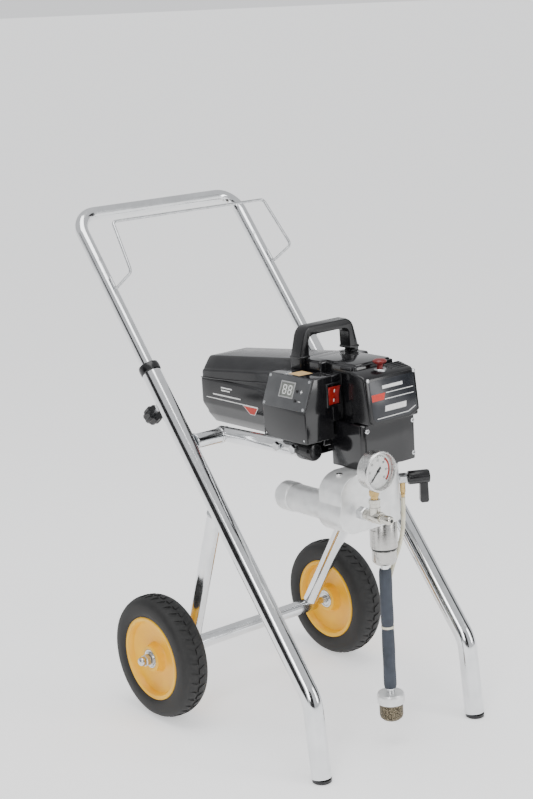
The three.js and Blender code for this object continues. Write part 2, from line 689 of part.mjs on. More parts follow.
function mountPlate() {
  const inner = RAIL_X - RAIL_RADIUS - 2;
  const floor = TRAY.low + TRAY.thickness;
  const tray = extrudeY([
    [-inner, TRAY.low], [inner, TRAY.low], [inner, TRAY.flange], [inner - 4, TRAY.flange], [inner - 4, floor],
    [-inner + 4, floor], [-inner + 4, TRAY.flange], [-inner, TRAY.flange],
  ], TRAY.front, TRAY.rear);
  const pad = block([-40, TRAY.front, floor - 1], [40, CASE_REAR, CASE_BOTTOM - GAP]);
  return joined(tray, pad);
}

// ---- the control box ----
const boxOutline = (inset) => [
  [BOX_OUTER + inset, BOX_BOTTOM + inset], [BOX_INNER - inset, BOX_BOTTOM + inset],
  [BOX_INNER - inset, BOX_TOP - inset], [BOX_OUTER + PANEL_INSET + inset, BOX_TOP - inset],
  [BOX_OUTER + inset, PANEL_LOW],
];

const panelLean = Math.atan2(PANEL_INSET, BOX_TOP - PANEL_LOW);
const panelLength = Math.hypot(PANEL_INSET, BOX_TOP - PANEL_LOW);

// Puts a piece drawn flat on the panel (x along it to the rear, y up it, z outwards) in its place.
function onPanel(geometry) {
  const up = v(Math.sin(panelLean), 0, Math.cos(panelLean));
  const out = v(-Math.cos(panelLean), 0, Math.sin(panelLean));
  const turn = new THREE.Matrix4().makeBasis(v(0, -1, 0), up, out);
  turn.setPosition(BOX_OUTER, (BOX_FRONT + BOX_REAR) / 2, PANEL_LOW);
  return geometry.applyMatrix4(turn);
}

const DISPLAY = { along: 0, up: 31, width: 34, height: 26 };
const BUTTONS = [['button_plus', 24, 31], ['button_minus', 24, 16]];
const BUTTON_RADIUS = 2.6;
const SWITCH = { x: -62, z: 95, width: 30, height: 38, depth: 22 };

function switchOpening() {
  const { x, z, width, height } = SWITCH;
  const half = [width / 2 + GAP, height / 2 + GAP];
  return block([x - half[0], BOX_FRONT - 5, z - half[1]], [x + half[0], BOX_FRONT + 10, z + half[1]]);
}

function boxWing(inset) {
  return block([BOX_INNER - 10, BOX_FRONT + inset, MOUNT_TOP + GAP + inset],
    [WING_INNER - inset, CASE_STEP - GAP - inset, BOX_TOP - inset]);
}

function controlBox() {
  const window = block([-44, 5, -10], [44, panelLength - 5, 10]);
  const gland = rod('y', 7, BOX_REAR - 6, BOX_REAR + 12, 12).translate(-88, 0, 42);
  const leadHole = rod('y', 3.6, BOX_REAR - 10, BOX_REAR + 20, 12).translate(LEAD_END[0], 0, LEAD_END[2]);
  const shell = cut(
    joined(extrudeY(boxOutline(0), BOX_FRONT, BOX_REAR), boxWing(0)),
    extrudeY(boxOutline(BOX_WALL), BOX_FRONT + BOX_WALL, BOX_REAR - BOX_WALL),
    boxWing(BOX_WALL),
    onPanel(window),
    switchOpening(),
    leadHole,
  );
  return shell.add(cut(gland, rod('y', 4, BOX_REAR - 10, BOX_REAR + 20, 12).translate(-88, 0, 42)));
}

const PANEL_THICKNESS = 2;

function controlPanel() {
  const half = (BOX_REAR - BOX_FRONT) / 2 - 1;
  const plate = block([-half, 1, GAP], [half, panelLength - 1, GAP + PANEL_THICKNESS]);
  const holes = BUTTONS.map(([, along, up]) => rod('z', BUTTON_RADIUS + FIT, -5, 8, 12).translate(along, up, 0));
  const { along, up, width, height } = DISPLAY;
  const w = width / 2 + GAP;
  const h = height / 2 + GAP;
  const window = block([along - w, up - h, -5], [along + w, up + h, 10]);
  return cut(onPanel(plate), onPanel(window), ...holes.map(onPanel));
}

function displayModule() {
  const { along, up, width, height } = DISPLAY;
  const w = width / 2;
  const h = height / 2;
  return onPanel(block([along - w, up - h, -6], [along + w, up + h, GAP + PANEL_THICKNESS + 0.6]));
}

function panelButton(along, up) {
  const top = GAP + PANEL_THICKNESS + BUTTON_TRAVEL + 0.5;
  return onPanel(rod('z', BUTTON_RADIUS, -4, top, 12).translate(along, up, 0));
}

function circuitBoard() {
  return onPanel(block([-42, 6, -12], [42, panelLength - 6, -10]));
}

function switchBody() {
  const { x, z, width, height, depth } = SWITCH;
  const body = block([x - width / 2, BOX_FRONT - 3, z - height / 2],
    [x + width / 2, BOX_FRONT + depth, z + height / 2]);
  const well = block([x - width / 2 + 3, BOX_FRONT - 10, z - height / 2 + 3],
    [x + width / 2 - 3, BOX_FRONT + 12, z + height / 2 - 3]);
  return cut(body, well);
}

const ROCKER_PIVOT = BOX_FRONT + 4;
const ROCKER_SWING = THREE.MathUtils.degToRad(18);

// Drawn level about its pivot, then rocked to one end of its swing.
function switchRocker() {
  const { x, z, width, height } = SWITCH;
  const half = height / 2 - 4.5;
  const outline = [[3.5, -7], [3.5, 7], [-5, half], [-7, half], [-5.5, 0], [-7, -half], [-5, -half]];
  const body = extrudeX(outline, x - width / 2 + 3.5, x + width / 2 - 3.5);
  return body.rotateX(ROCKER_SWING / 2).translate(0, ROCKER_PIVOT, z);
}

const LEAD_END = [-84, BOX_REAR, 70];
const LEAD_POINTS = [
  [-48, -74, 10.5], [-52, -80, 5], [-58, -90, 6], [-65, -101, 19], [-74, -115, 38], [-81, -126, 56],
  [-84, -134, 66], [-84, -140, 69.5], [-84, -146, 70], [-84, -152, 70],
];

function motorLead() {
  return tube(LEAD_POINTS.map((p) => v(...p)), 3, 8);
}

// ---- the pump ----
function pumpBlock() {
  const { x, z } = FILTER;
  const lobe = [];
  for (let k = 0; k <= 8; k += 1) {
    const angle = DOWN - (k / 8) * THREE.MathUtils.degToRad(120);
    lobe.push([x + FILTER_LOBE * Math.cos(angle), z + FILTER_LOBE * Math.sin(angle)]);
  }
  const shoulder = [[-107, -46], [-101, -34], [-90, -25], [-74, BLOCK_TOP]];
  const front = PUMP_Y - BLOCK_DEPTH / 2;
  const rear = PUMP_Y + BLOCK_DEPTH / 2;
  const body = extrudeY([[0, BLOCK_BOTTOM], ...lobe, ...shoulder, [0, BLOCK_TOP]], front, rear);
  const nose = rod('z', BLOCK_NOSE, BLOCK_BOTTOM, BLOCK_TOP, 24).translate(0, PUMP_Y, 0);
  return cut(
    joined(body, nose),
    rod('z', ROD_RADIUS + FIT, BLOCK_BOTTOM - 5, BLOCK_TOP + 5, 16).translate(0, PUMP_Y, 0),
    rod('z', 12, BLOCK_TOP - 4, BLOCK_TOP + 5, 16).translate(0, PUMP_Y, 0),
    rod('y', 16, rear - 34, rear + 5, 16).translate(x, 0, z),
  );
}

const blockRear = PUMP_Y + BLOCK_DEPTH / 2;
const blockFront = PUMP_Y - BLOCK_DEPTH / 2;

function filterBowl() {
  const start = blockRear + GAP;
  const seam = start + FILTER_BOWL;
  const end = seam + FILTER_CAP;
  const profile = [
    [16, start], [FILTER_RADIUS, start], [FILTER_RADIUS, seam], [FILTER_RADIUS + 1.5, seam + 1],
    [FILTER_RADIUS + 1.5, end - 8], [FILTER_RADIUS - 5, end], [0, end], [0, end - 8], [16, end - 8], [16, start],
  ];
  return turned('y', profile, 24).translate(FILTER.x, 0, FILTER.z);
}

function filterElement() {
  const start = blockRear - 32;
  return ring('y', 8, 13, start, start + 138, 16).translate(FILTER.x, 0, FILTER.z);
}

function fluidCylinder() {
  const top = BLOCK_BOTTOM - GAP;
  const bottom = top - CYLINDER_LENGTH;
  const bore = PISTON_RADIUS + FIT;
  const lowRadius = CYLINDER_RADIUS - 2.5;
  const profile = [
    [bore, top], [CYLINDER_RADIUS, top], [CYLINDER_RADIUS, top - 46], [lowRadius, top - 49],
    [lowRadius, bottom + 5], [lowRadius - 5, bottom], [5, bottom], [5, bottom + 10], [bore, bottom + 12],
    [bore, top],
  ];
  return turned('z', profile.reverse(), 24).translate(0, PUMP_Y, 0);
}

const CYLINDER_END = BLOCK_BOTTOM - GAP - CYLINDER_LENGTH;

function suctionTube() {
  const top = CYLINDER_END - GAP;
  return ring('z', SUCTION_RADIUS - 1.5, SUCTION_RADIUS, SUCTION_END, top, 12).translate(0, PUMP_Y, 0);
}

function foamSleeve() {
  const inner = SUCTION_RADIUS + GAP;
  return ring('z', inner, SLEEVE_RADIUS, SLEEVE_END, SLEEVE_TOP, 16).translate(0, PUMP_Y, 0);
}

const STRAINER = { top: -402, flange: -420, bottom: -448 };

function strainerCap() {
  const { top, flange } = STRAINER;
  const r = STRAINER_RADIUS;
  const inner = SUCTION_RADIUS + GAP;
  const profile = [
    [inner, top - 4], [inner, top], [r - 2, top], [r, top - 4], [r - 1, flange], [r - 3, flange],
    [r - 3, top - 8], [inner, top - 8], [inner, top - 4],
  ];
  return turned('z', profile.reverse(), 24).translate(0, PUMP_Y, 0);
}

function strainerMesh() {
  const { top, bottom } = STRAINER;
  const r = STRAINER_RADIUS - 3 - GAP;
  const profile = [
    [0, bottom], [r - 5, bottom], [r - 1, bottom + 4], [r, bottom + 9], [r, top - 8 - GAP], [r - 1.2, top - 8 - GAP],
    [r - 1.2, bottom + 9], [r - 2.2, bottom + 5], [r - 5, bottom + 1.5], [0, bottom + 1.5],
  ];
  return turned('z', profile, 24).translate(0, PUMP_Y, 0);
}

// The outlet fitting runs forward from the filter, with the gauge standing on its tee.
function outletTee() {
  const start = blockFront - GAP;
  const run = (radius, from, to, sides) => rod('y', radius, to, from, sides);
  const gaugeFoot = GAUGE_HEIGHT - GAUGE_RADIUS + 3;
  const fitting = joined(
    run(11, start, start - 16, 6),
    run(8, start - 15, TEE_Y + 12, 12),
    run(9.5, TEE_Y + 13, TEE_Y - 15, 12),
    run(7, TEE_Y - 14, TEE_Y - 36, 12),
    rod('z', 9, 0, 28, 12).translate(0, TEE_Y, 0),
    rod('z', 8, 27, gaugeFoot, 6).translate(0, TEE_Y, 0),
  );
  return fitting.translate([FILTER.x, 0, FILTER.z + 4]);
}

const GAUGE = { x: FILTER.x, y: TEE_Y + 6, z: FILTER.z + 4 + GAUGE_HEIGHT };

function gaugeCase() {
  const r = GAUGE_RADIUS;
  const rear = GAUGE.y;
  const front = rear - GAUGE_DEPTH;
  const profile = [
    [0, rear], [r - 4, rear], [r - 2.5, rear - 2], [r - 2.5, front + 7], [r, front + 6], [r, front + 1],
    [r - 1.5, front], [r - 4.5, front], [r - 4.5, front + 10], [0, front + 10],
  ];
  const shell = turned('y', profile, 32).translate(GAUGE.x, 0, GAUGE.z);
  const foot = block([GAUGE.x - 20, rear - 30, GAUGE.z - r - 10], [GAUGE.x + 20, rear + 5, GAUGE.z - r + 3 + GAP]);
  return cut(shell, foot);
}

function gaugeNeedle() {
  const front = GAUGE.y - GAUGE_DEPTH + 7;
  const zero = THREE.MathUtils.degToRad(225);
  const outline = [[-7, -1.4], [-3, -1.2], [19, -0.5], [21, 0], [19, 0.5], [-3, 1.2], [-7, 1.4]];
  const turnedOutline = outline.map(([a, b]) => [
    a * Math.cos(zero) - b * Math.sin(zero), a * Math.sin(zero) + b * Math.cos(zero)]);
  const pointer = extrudeY(turnedOutline, front, front + 1);
  const pin = rod('y', 2.2, front - 0.6, front + 2.4, 10);
  return joined(pointer, pin).translate([GAUGE.x, 0, GAUGE.z]);
}

// Turns a piece drawn along +X about the pump's centre line to face the prime valve's way.
function towardValve(geometry) {
  return geometry.rotateZ(-VALVE_TURN).translate(0, PUMP_Y, VALVE_HEIGHT);
}

const HUB_START = BLOCK_NOSE + 14;

function primeValve() {
  const nut = rod('x', 9, BLOCK_NOSE - 3, HUB_START - GAP, 6);
  const spindle = rod('x', 4, HUB_START - 3, HUB_START + 20, 10);
  const barb = rod('z', 4.5, -30, -4, 10).translate(BLOCK_NOSE + 6, 0, 0);
  const nose = rod('z', BLOCK_NOSE + GAP, BLOCK_BOTTOM - 5, BLOCK_TOP + 5, 24).translate(0, PUMP_Y, 0);
  return joined(towardValve(nut), towardValve(spindle), towardValve(barb)).subtract(solid(nose));
}

function primeHandle() {
  const end = HUB_START + 36;
  const hub = rod('x', 11, HUB_START, end, 16);
  const lever = block([end - 17, -6, -42], [end - 3, 6, 0]);
  const bore = rod('x', 4 + GAP, HUB_START - 5, HUB_START + 21, 10);
  return cut(joined(hub, lever), bore).rotate([0, 0, -THREE.MathUtils.radToDeg(VALVE_TURN)])
    .translate([0, PUMP_Y, VALVE_HEIGHT]);
}

const HOSE_POINTS = [
  [29.4, -292, -80.6], [29.5, -291.6, -100], [31, -289, -122], [32.5, -283, -145], [31.5, -275, -168],
  [27.5, -267, -192], [22, -261.5, -216], [17, -259, -240], [13.5, -258.5, -265], [12.5, -259, -290],
  [12.3, -259, -330], [12.3, -259, -372],
];

function drainHose() {
  return tube(HOSE_POINTS.map((p) => v(...p)), 3.6, 8);
}

function buildSprayer() {
  const sprayer = new THREE.Group();
  sprayer.position.copy(railStart);
  sprayer.rotation.x = -TILT;
  const pieces = [
    ['motor_cover', motorCover(), blackPlastic],
    ['motor_frame', motorFrame(), steel],
    ['rotor', rotor(), copper],
    ['gear_housing', gearHousing(), blackPaint],
    ['gear_cluster', gearCluster(), steel],
    ['crank', crank(), steel],
    ['drive_yoke', driveYoke(), steel],
    ['piston_rod', pistonRod(), steel],
    ['front_cover', frontCover(), blackPlastic],
    ['label_plate', labelPlate(), shieldGrey],
    ['oiler_button', oilerButton(), darkRed],
    ['carry_handle', carryHandle(), blackPlastic],
    ['mount_plate', mountPlate(), blackPaint],
    ['control_box', controlBox(), blackPaint],
    ['control_panel', controlPanel(), greyPanel],
    ['display', displayModule(), white],
    ['circuit_board', circuitBoard(), greenBoard],
    ['switch_body', switchBody(), blackPlastic],
    ['switch_rocker', switchRocker(), red],
    ['motor_lead', motorLead(), rubber],
    ['pump_block', pumpBlock(), aluminium],
    ['filter_bowl', filterBowl(), aluminium],
    ['filter_element', filterElement(), mesh],
    ['fluid_cylinder', fluidCylinder(), steel],
    ['suction_tube', suctionTube(), chrome],
    ['foam_sleeve', foamSleeve(), foam],
    ['strainer_cap', strainerCap(), aluminium],
    ['strainer_mesh', strainerMesh(), mesh],
    ['outlet_tee', outletTee(), brass],
    ['gauge_case', gaugeCase(), steel],
    ['gauge_needle', gaugeNeedle(), blackPlastic],
    ['prime_valve', primeValve(), steel],
    ['prime_handle', primeHandle(), blackPlastic],
    ['drain_hose', drainHose(), clearHose],
  ];
  for (const [name, shape, material] of pieces) addMesh(sprayer, name, shape, material);
  for (const [name, along, up] of BUTTONS) addMesh(sprayer, name, panelButton(along, up), blackPlastic);
  return sprayer;
}

const machine = new THREE.Group();
machine.add(buildCart(), buildSprayer());

// The origin stands on the floor under the middle of the whole machine.
const whole = new THREE.Group();
whole.add(machine);
machine.updateMatrixWorld(true);
const extent = new THREE.Box3().setFromObject(machine, true);
machine.position.set(0, -(extent.min.y + extent.max.y) / 2, 0);

export default whole;
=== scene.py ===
import math

import bmesh
import bpy
from mathutils import Matrix, Vector


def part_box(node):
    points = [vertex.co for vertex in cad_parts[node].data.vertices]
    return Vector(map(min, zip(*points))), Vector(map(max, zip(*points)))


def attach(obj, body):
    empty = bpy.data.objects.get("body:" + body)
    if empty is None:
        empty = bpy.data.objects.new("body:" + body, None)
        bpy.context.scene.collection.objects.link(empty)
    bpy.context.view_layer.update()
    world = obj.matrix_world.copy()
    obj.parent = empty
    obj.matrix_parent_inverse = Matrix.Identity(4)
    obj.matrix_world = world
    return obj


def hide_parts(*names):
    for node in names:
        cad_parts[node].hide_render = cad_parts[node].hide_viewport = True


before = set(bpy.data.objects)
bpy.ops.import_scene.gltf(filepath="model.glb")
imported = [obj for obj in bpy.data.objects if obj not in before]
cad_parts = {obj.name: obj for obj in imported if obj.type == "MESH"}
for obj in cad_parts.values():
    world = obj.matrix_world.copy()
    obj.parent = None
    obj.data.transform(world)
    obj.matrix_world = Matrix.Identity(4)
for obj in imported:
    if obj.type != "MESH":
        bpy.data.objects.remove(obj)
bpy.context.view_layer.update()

# ---------------------------------------------------------------------------
# The studio: a pale floor with white air, black flags that only darken the chrome, a
# camera to the left of the pump, and three soft boxes. None of it belongs to the machine.
# ---------------------------------------------------------------------------
bpy.ops.object.select_all(action="DESELECT")
row_shift = sum(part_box("axle_tube")[k].y for k in (0, 1)) / 2

camera_data = bpy.data.cameras.new("studio_camera")
camera = bpy.data.objects.new("studio_camera", camera_data)
bpy.context.scene.collection.objects.link(camera)
bpy.context.scene.camera = camera
camera_data.sensor_fit = "AUTO"
camera_data.sensor_width = 36
camera_data.lens = 76.62
camera_data.clip_end = 60


def aim_camera(place, azimuth, elevation, roll):
    """Puts the camera in its place, turned by angles in degrees."""
    a, e, r = (math.radians(angle) for angle in (azimuth, elevation, roll))
    back = Vector((math.sin(a) * math.cos(e), -math.cos(a) * math.cos(e), math.sin(e)))
    right = Vector((math.cos(a), math.sin(a), 0))
    up = back.cross(right)
    turned_right = right * math.cos(r) + up * math.sin(r)
    turned_up = up * math.cos(r) - right * math.sin(r)
    turn = Matrix((turned_right, turned_up, back)).transposed().to_4x4()
    camera.matrix_world = Matrix.Translation(place) @ turn


aim_camera(Vector((-1.7253, -2.2151 + row_shift, 1.2174)), -38.8, 14.11, -2.49)


def shaded(name, colour, roughness, metallic=0.0):
    """A new material with its main shader's own sockets set."""
    material = bpy.data.materials.new(name)
    material.use_nodes = True
    shader = material.node_tree.nodes["Principled BSDF"]
    shader.inputs["Base Color"].default_value = (*colour, 1)
    shader.inputs["Roughness"].default_value = roughness
    shader.inputs["Metallic"].default_value = metallic
    return material, material.node_tree, shader


def card(name, place, turn, size, material, seen=False):
    bpy.ops.mesh.primitive_plane_add(size=1, location=place, rotation=turn)
    sheet = bpy.context.object
    sheet.name = name
    sheet.scale = (*size, 1)
    sheet.data.materials.append(material)
    sheet.visible_camera = seen


def pale_floor():
    """White studio paper, lit a little from below."""
    paper, _, shader = shaded("floor_paper", (0.93, 0.93, 0.93), 0.75)
    shader.inputs["Emission Color"].default_value = (1, 1, 1, 1)
    shader.inputs["Emission Strength"].default_value = 0.65
    card("studio_floor", (0, 0, -0.0005), (0, 0, 0), (110, 110), paper, seen=True)


pale_floor()
flag, _, _ = shaded("black_flag", (0.01, 0.01, 0.01), 0.9)
card("camera_flag", (-2.6, -3.3, 1.2), (math.pi / 2, 0, math.radians(-38.8)), (3.0, 3.4), flag)
card("left_flag", (-3.2, 0.2, 0.9), (math.pi / 2, 0, math.radians(84)), (2.6, 2.4), flag)
card("right_flag", (2.3, -1.5, 1.1), (math.pi / 2, 0, math.radians(62)), (1.0, 2.4), flag)


def soft_box(name, place, target, size, power):
    light_data = bpy.data.lights.new(name, "AREA")
    light_data.shape = "RECTANGLE"
    light_data.size, light_data.size_y = size
    light_data.energy = power
    light = bpy.data.objects.new(name, light_data)
    bpy.context.scene.collection.objects.link(light)
    light.location = place
    light.rotation_euler = (Vector(target) - Vector(place)).to_track_quat("-Z", "Y").to_euler()


soft_box("overhead_box", (-0.3, -0.2, 2.6), (0, 0, 0.4), (1.6, 1.6), 30)
soft_box("left_box", (-2.2, -1.7, 1.5), (0, 0, 0.45), (0.7, 1.8), 26)
soft_box("right_box", (1.4, -2.8, 1.4), (0, 0, 0.45), (0.7, 1.8), 22)


def white_air():
    """White all round: bright where the camera sees it, softer where it lights the machine."""
    world = bpy.data.worlds.new("studio_air")
    bpy.context.scene.world = world
    world.use_nodes = True
    tree = world.node_tree
    seen = tree.nodes.new("ShaderNodeLightPath")
    level = tree.nodes.new("ShaderNodeMapRange")
    level.inputs["To Min"].default_value = 0.78
    level.inputs["To Max"].default_value = 1.05
    tree.links.new(seen.outputs["Is Camera Ray"], level.inputs["Value"])
    tree.links.new(level.outputs["Result"], tree.nodes["Background"].inputs["Strength"])
    tree.nodes["Background"].inputs["Color"].default_value = (0.97, 0.98, 1.0, 1)


white_air()

# ---------------------------------------------------------------------------
# Side tubes: two lengths of 32 mm steel tube, bent once above the foot, polished
# and chromed. They lean back and carry everything else.
# ---------------------------------------------------------------------------
MM = 0.001
LEAN = math.radians(39.5)
FOOT_LEAN = math.radians(7.1)
TRACK = 0.339
SIDE_TUBE_TOP = 0.588
TUBE_RADIUS = 0.016
GAP = 0.0003
UP_TUBE = Vector((0, math.sin(LEAN), math.cos(LEAN)))
OUT_OF_TUBE = Vector((0, math.cos(LEAN), -math.sin(LEAN)))
ELBOW = Vector((0, -0.360 + row_shift, 0.131))
SIDES = (("left", -1), ("right", 1))


def on_tube(x, z):
    return Vector((x, ELBOW.y + (z - ELBOW.z) * math.tan(LEAN), z))


def on_foot(x, z):
    return Vector((x, ELBOW.y + (z - ELBOW.z) * math.tan(FOOT_LEAN), z))


def picture(tree, kind, **values):
    """A texture or other node with some of its sockets or settings filled in."""
    node = tree.nodes.new(kind)
    for key, value in values.items():
        if key in node.inputs:
            node.inputs[key].default_value = value
        else:
            setattr(node, key, value)
    return node


def object_pattern(tree, kind, stretch=(1, 1, 1), shift=(0, 0, 0), **values):
    """A texture laid out in the piece's own space, stretched and shifted."""
    place = tree.nodes.new("ShaderNodeTexCoord")
    mapping = picture(tree, "ShaderNodeMapping", Scale=stretch, Location=shift)
    texture = picture(tree, kind, **values)
    tree.links.new(place.outputs["Object"], mapping.inputs["Vector"])
    tree.links.new(mapping.outputs["Vector"], texture.inputs["Vector"])
    return texture


def spread(tree, source, low, high, output="Fac"):
    """Turns a texture's grey into a range of values."""
    ranged = picture(tree, "ShaderNodeMapRange")
    ranged.inputs["To Min"].default_value = low
    ranged.inputs["To Max"].default_value = high
    tree.links.new(source.outputs[output], ranged.inputs["Value"])
    return ranged.outputs["Result"]


def tinted(tree, source, dark, light, low=0.3, high=0.7, output="Fac"):
    """Turns a texture's grey into a colour between two colours."""
    ramp = tree.nodes.new("ShaderNodeValToRGB")
    ramp.color_ramp.elements[0].position = low
    ramp.color_ramp.elements[0].color = (*dark, 1)
    ramp.color_ramp.elements[1].position = high
    ramp.color_ramp.elements[1].color = (*light, 1)
    tree.links.new(source.outputs[output], ramp.inputs["Fac"])
    return ramp.outputs["Color"]


def raised(tree, shader, source, strength, distance, output="Fac"):
    bump = picture(tree, "ShaderNodeBump", Strength=strength, Distance=distance)
    tree.links.new(source.outputs[output], bump.inputs["Height"])
    tree.links.new(bump.outputs["Normal"], shader.inputs["Normal"])
    return bump


def chrome_plate():
    material, tree, shader = shaded("chrome_plate", (0.80, 0.81, 0.82), 0.1, 1.0)
    smears = object_pattern(tree, "ShaderNodeTexNoise", Scale=26.0, Detail=6.0, Roughness=0.65)
    tree.links.new(spread(tree, smears, 0.05, 0.20), shader.inputs["Roughness"])
    tree.links.new(tinted(tree, smears, (0.68, 0.69, 0.70), (0.84, 0.85, 0.86)), shader.inputs["Base Color"])
    grain = object_pattern(tree, "ShaderNodeTexNoise", stretch=(1, 0.1, 0.1), Scale=900.0, Detail=2.0)
    raised(tree, shader, grain, 0.05, 0.0002)
    return material


chrome = chrome_plate()


def only_this(piece):
    if bpy.context.object and bpy.context.object.mode != "OBJECT":
        bpy.ops.object.mode_set(mode="OBJECT")
    bpy.ops.object.select_all(action="DESELECT")
    piece.select_set(True)
    bpy.context.view_layer.objects.active = piece


def edit(mode="VERT"):
    bpy.ops.object.mode_set(mode="EDIT")
    bpy.ops.mesh.select_mode(type=mode)


def edit_done():
    bpy.ops.object.mode_set(mode="OBJECT")


def clean_mesh(piece):
    only_this(piece)
    edit()
    bpy.ops.mesh.select_all(action="SELECT")
    bpy.ops.mesh.remove_doubles(threshold=0.00001)
    bpy.ops.mesh.normals_make_consistent(inside=False)
    edit_done()
    return piece


def settle(piece, name, material, body, stands_for=(), sharp=32):
    """Names a finished piece, puts its place in its mesh, smooths it and lets it ride on its body."""
    only_this(piece)
    for modifier in list(piece.modifiers):
        bpy.ops.object.modifier_apply(modifier=modifier.name)
    bpy.ops.object.transform_apply(location=True, rotation=True, scale=True)
    edit()
    bpy.ops.mesh.select_all(action="SELECT")
    bpy.ops.mesh.remove_doubles(threshold=0.000004)
    bpy.ops.mesh.normals_make_consistent(inside=False)
    edit_done()
    bpy.ops.object.shade_smooth_by_angle(angle=math.radians(sharp))
    piece.name = name
    piece.data.name = name
    if material is not None:
        piece.data.materials.clear()
        piece.data.materials.append(material)
    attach(piece, body)
    if stands_for:
        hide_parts(*stands_for)
    return piece


def ring_at(place, direction, radius, sides):
    """Starts a piece from a bare ring of edges round a point, facing a direction."""
    turn = Vector(direction).to_track_quat("Z", "Y").to_euler()
    bpy.ops.object.select_all(action="DESELECT")
    bpy.ops.mesh.primitive_circle_add(vertices=sides, radius=radius, location=place, rotation=turn)
    edit()
    bpy.ops.mesh.select_all(action="SELECT")
    return bpy.context.object


def close_ends():
    """Caps the ring that is still selected, then the ring that the piece began with."""
    bpy.ops.mesh.edge_face_add()
    bpy.ops.mesh.select_all(action="DESELECT")
    bpy.ops.mesh.select_non_manifold(extend=False)
    bpy.ops.mesh.edge_face_add()


def extruded(move):
    bpy.ops.mesh.extrude_region_move(TRANSFORM_OT_translate={"value": Vector(move)})


def bent_tube(corners, radius, bend_radius, sides=32, bend_steps=14, closed=True):
    """A tube drawn from corner to corner, with a spun bend at each corner between."""
    corners = [Vector(corner) for corner in corners]
    here = corners[0]
    piece = ring_at(here, corners[1] - corners[0], radius, sides)
    for i in range(1, len(corners)):
        ahead = (corners[i] - corners[i - 1]).normalized()
        if i == len(corners) - 1:
            extruded(corners[i] - here)
            break
        after = (corners[i + 1] - corners[i]).normalized()
        angle = ahead.angle(after)
        reach = bend_radius * math.tan(angle / 2)
        start = corners[i] - ahead * reach
        extruded(start - here)
        axis = ahead.cross(after).normalized()
        centre = start + axis.cross(ahead) * bend_radius
        bpy.ops.mesh.spin(steps=bend_steps, angle=-angle, center=centre, axis=axis)
        here = corners[i] + after * reach
        chosen = [v.co for v in bmesh.from_edit_mesh(piece.data).verts if v.select]
        middle = piece.matrix_world @ (sum(chosen, Vector()) / len(chosen))
        if (middle - here).length > bend_radius * 0.02:
            raise RuntimeError(f"the bend at corner {i} turned the wrong way")
    if closed:
        close_ends()
    edit_done()
    return piece


for word, side in SIDES:
    x = side * TRACK / 2
    low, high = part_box(f"side_tube_{word}")
    top = on_tube(x, SIDE_TUBE_TOP)
    tube = bent_tube([on_foot(x, 0.0065), on_tube(x, ELBOW.z), top], TUBE_RADIUS, 0.060)
    settle(tube, f"chromed_side_tube_{word}", chrome, "frame", [f"side_tube_{word}"])

# ---------------------------------------------------------------------------
# Black plastic fittings of the side tubes: plugs in the feet and collars where the
# handle slides in. All are moulded and pressed on.
# ---------------------------------------------------------------------------
def moulded_black():
    material, tree, shader = shaded("moulded_black", (0.007, 0.007, 0.008), 0.22)
    grain = object_pattern(tree, "ShaderNodeTexNoise", Scale=1400.0, Detail=3.0)
    raised(tree, shader, grain, 0.05, 0.0002)
    wipe = object_pattern(tree, "ShaderNodeTexNoise", Scale=40.0, Detail=5.0)
    tree.links.new(spread(tree, wipe, 0.15, 0.26), shader.inputs["Roughness"])
    tree.links.new(tinted(tree, wipe, (0.005, 0.005, 0.006), (0.011, 0.011, 0.012)),
                   shader.inputs["Base Color"])
    return material


black_plastic = moulded_black()


def turned_piece(place, direction, profile, sides=40, closed=True):
    """A piece turned round an axis. The profile is [radius, distance along the axis] pairs."""
    place, direction = Vector(place), Vector(direction).normalized()
    radius, along = profile[0]
    piece = ring_at(place + direction * along, direction, radius, sides)
    for next_radius, next_along in profile[1:]:
        extruded(direction * (next_along - along))
        if abs(next_radius - radius) > 1e-7:
            grow = next_radius / radius
            centre = place + direction * next_along
            bpy.ops.transform.resize(value=(grow, grow, grow), center_override=centre)
        radius, along = next_radius, next_along
    if closed:
        close_ends()
    edit_done()
    return piece


def hollow_turned_piece(place, direction, profile, sides=40):
    """As a turned piece, but the profile runs round on itself, so that the piece is a ring."""
    return turned_piece(place, direction, [*profile, profile[0]], sides, closed=False)


for word, side in SIDES:
    x = side * TRACK / 2
    plug = turned_piece(on_foot(x, 0), (0, 0, 1), [(0.0145, 0.0), (0.0157, 0.0008), (0.0157, 0.006)])
    settle(plug, f"rubber_foot_{word}", black_plastic, "frame", [f"foot_plug_{word}"])

    base = on_tube(x, SIDE_TUBE_TOP) + UP_TUBE * GAP
    bush = [(0.0116, 0), (0.0162, 0), (0.0176, 0.0015), (0.0178, 0.006), (0.0178, 0.0105), (0.0168, 0.0145),
            (0.0140, 0.0160), (0.0116, 0.0160)]
    collar = hollow_turned_piece(base, UP_TUBE, bush)
    settle(collar, f"handle_collar_{word}", black_plastic, "frame", [f"collar_{word}"])

# ---------------------------------------------------------------------------
# Struts and axle tube: 25 mm steel tube, cut to fit round each other and welded,
# with the beads ground and chromed over. The axle runs through the axle tube.
# ---------------------------------------------------------------------------
AXLE_HEIGHT = 0.1057
SMALL_TUBE = 0.0125
AXLE_CENTRE = Vector((0, row_shift, AXLE_HEIGHT))


def cut_away(piece, cutter):
    """Cuts one piece's shape out of another, and removes the cutter."""
    clean_mesh(cutter)
    clean_mesh(piece)
    saw = piece.modifiers.new("saw", "BOOLEAN")
    saw.operation = "DIFFERENCE"
    saw.solver = "EXACT"
    saw.object = cutter
    bpy.ops.object.modifier_apply(modifier=saw.name)
    bpy.data.objects.remove(cutter)


def tube_hollow(x):
    """The hollow of a side tube, which the handle slides in, as a cutter."""
    return turned_piece(on_tube(x, 0.25), UP_TUBE, [(0.0148, 0), (0.0148, 0.40)], 32)


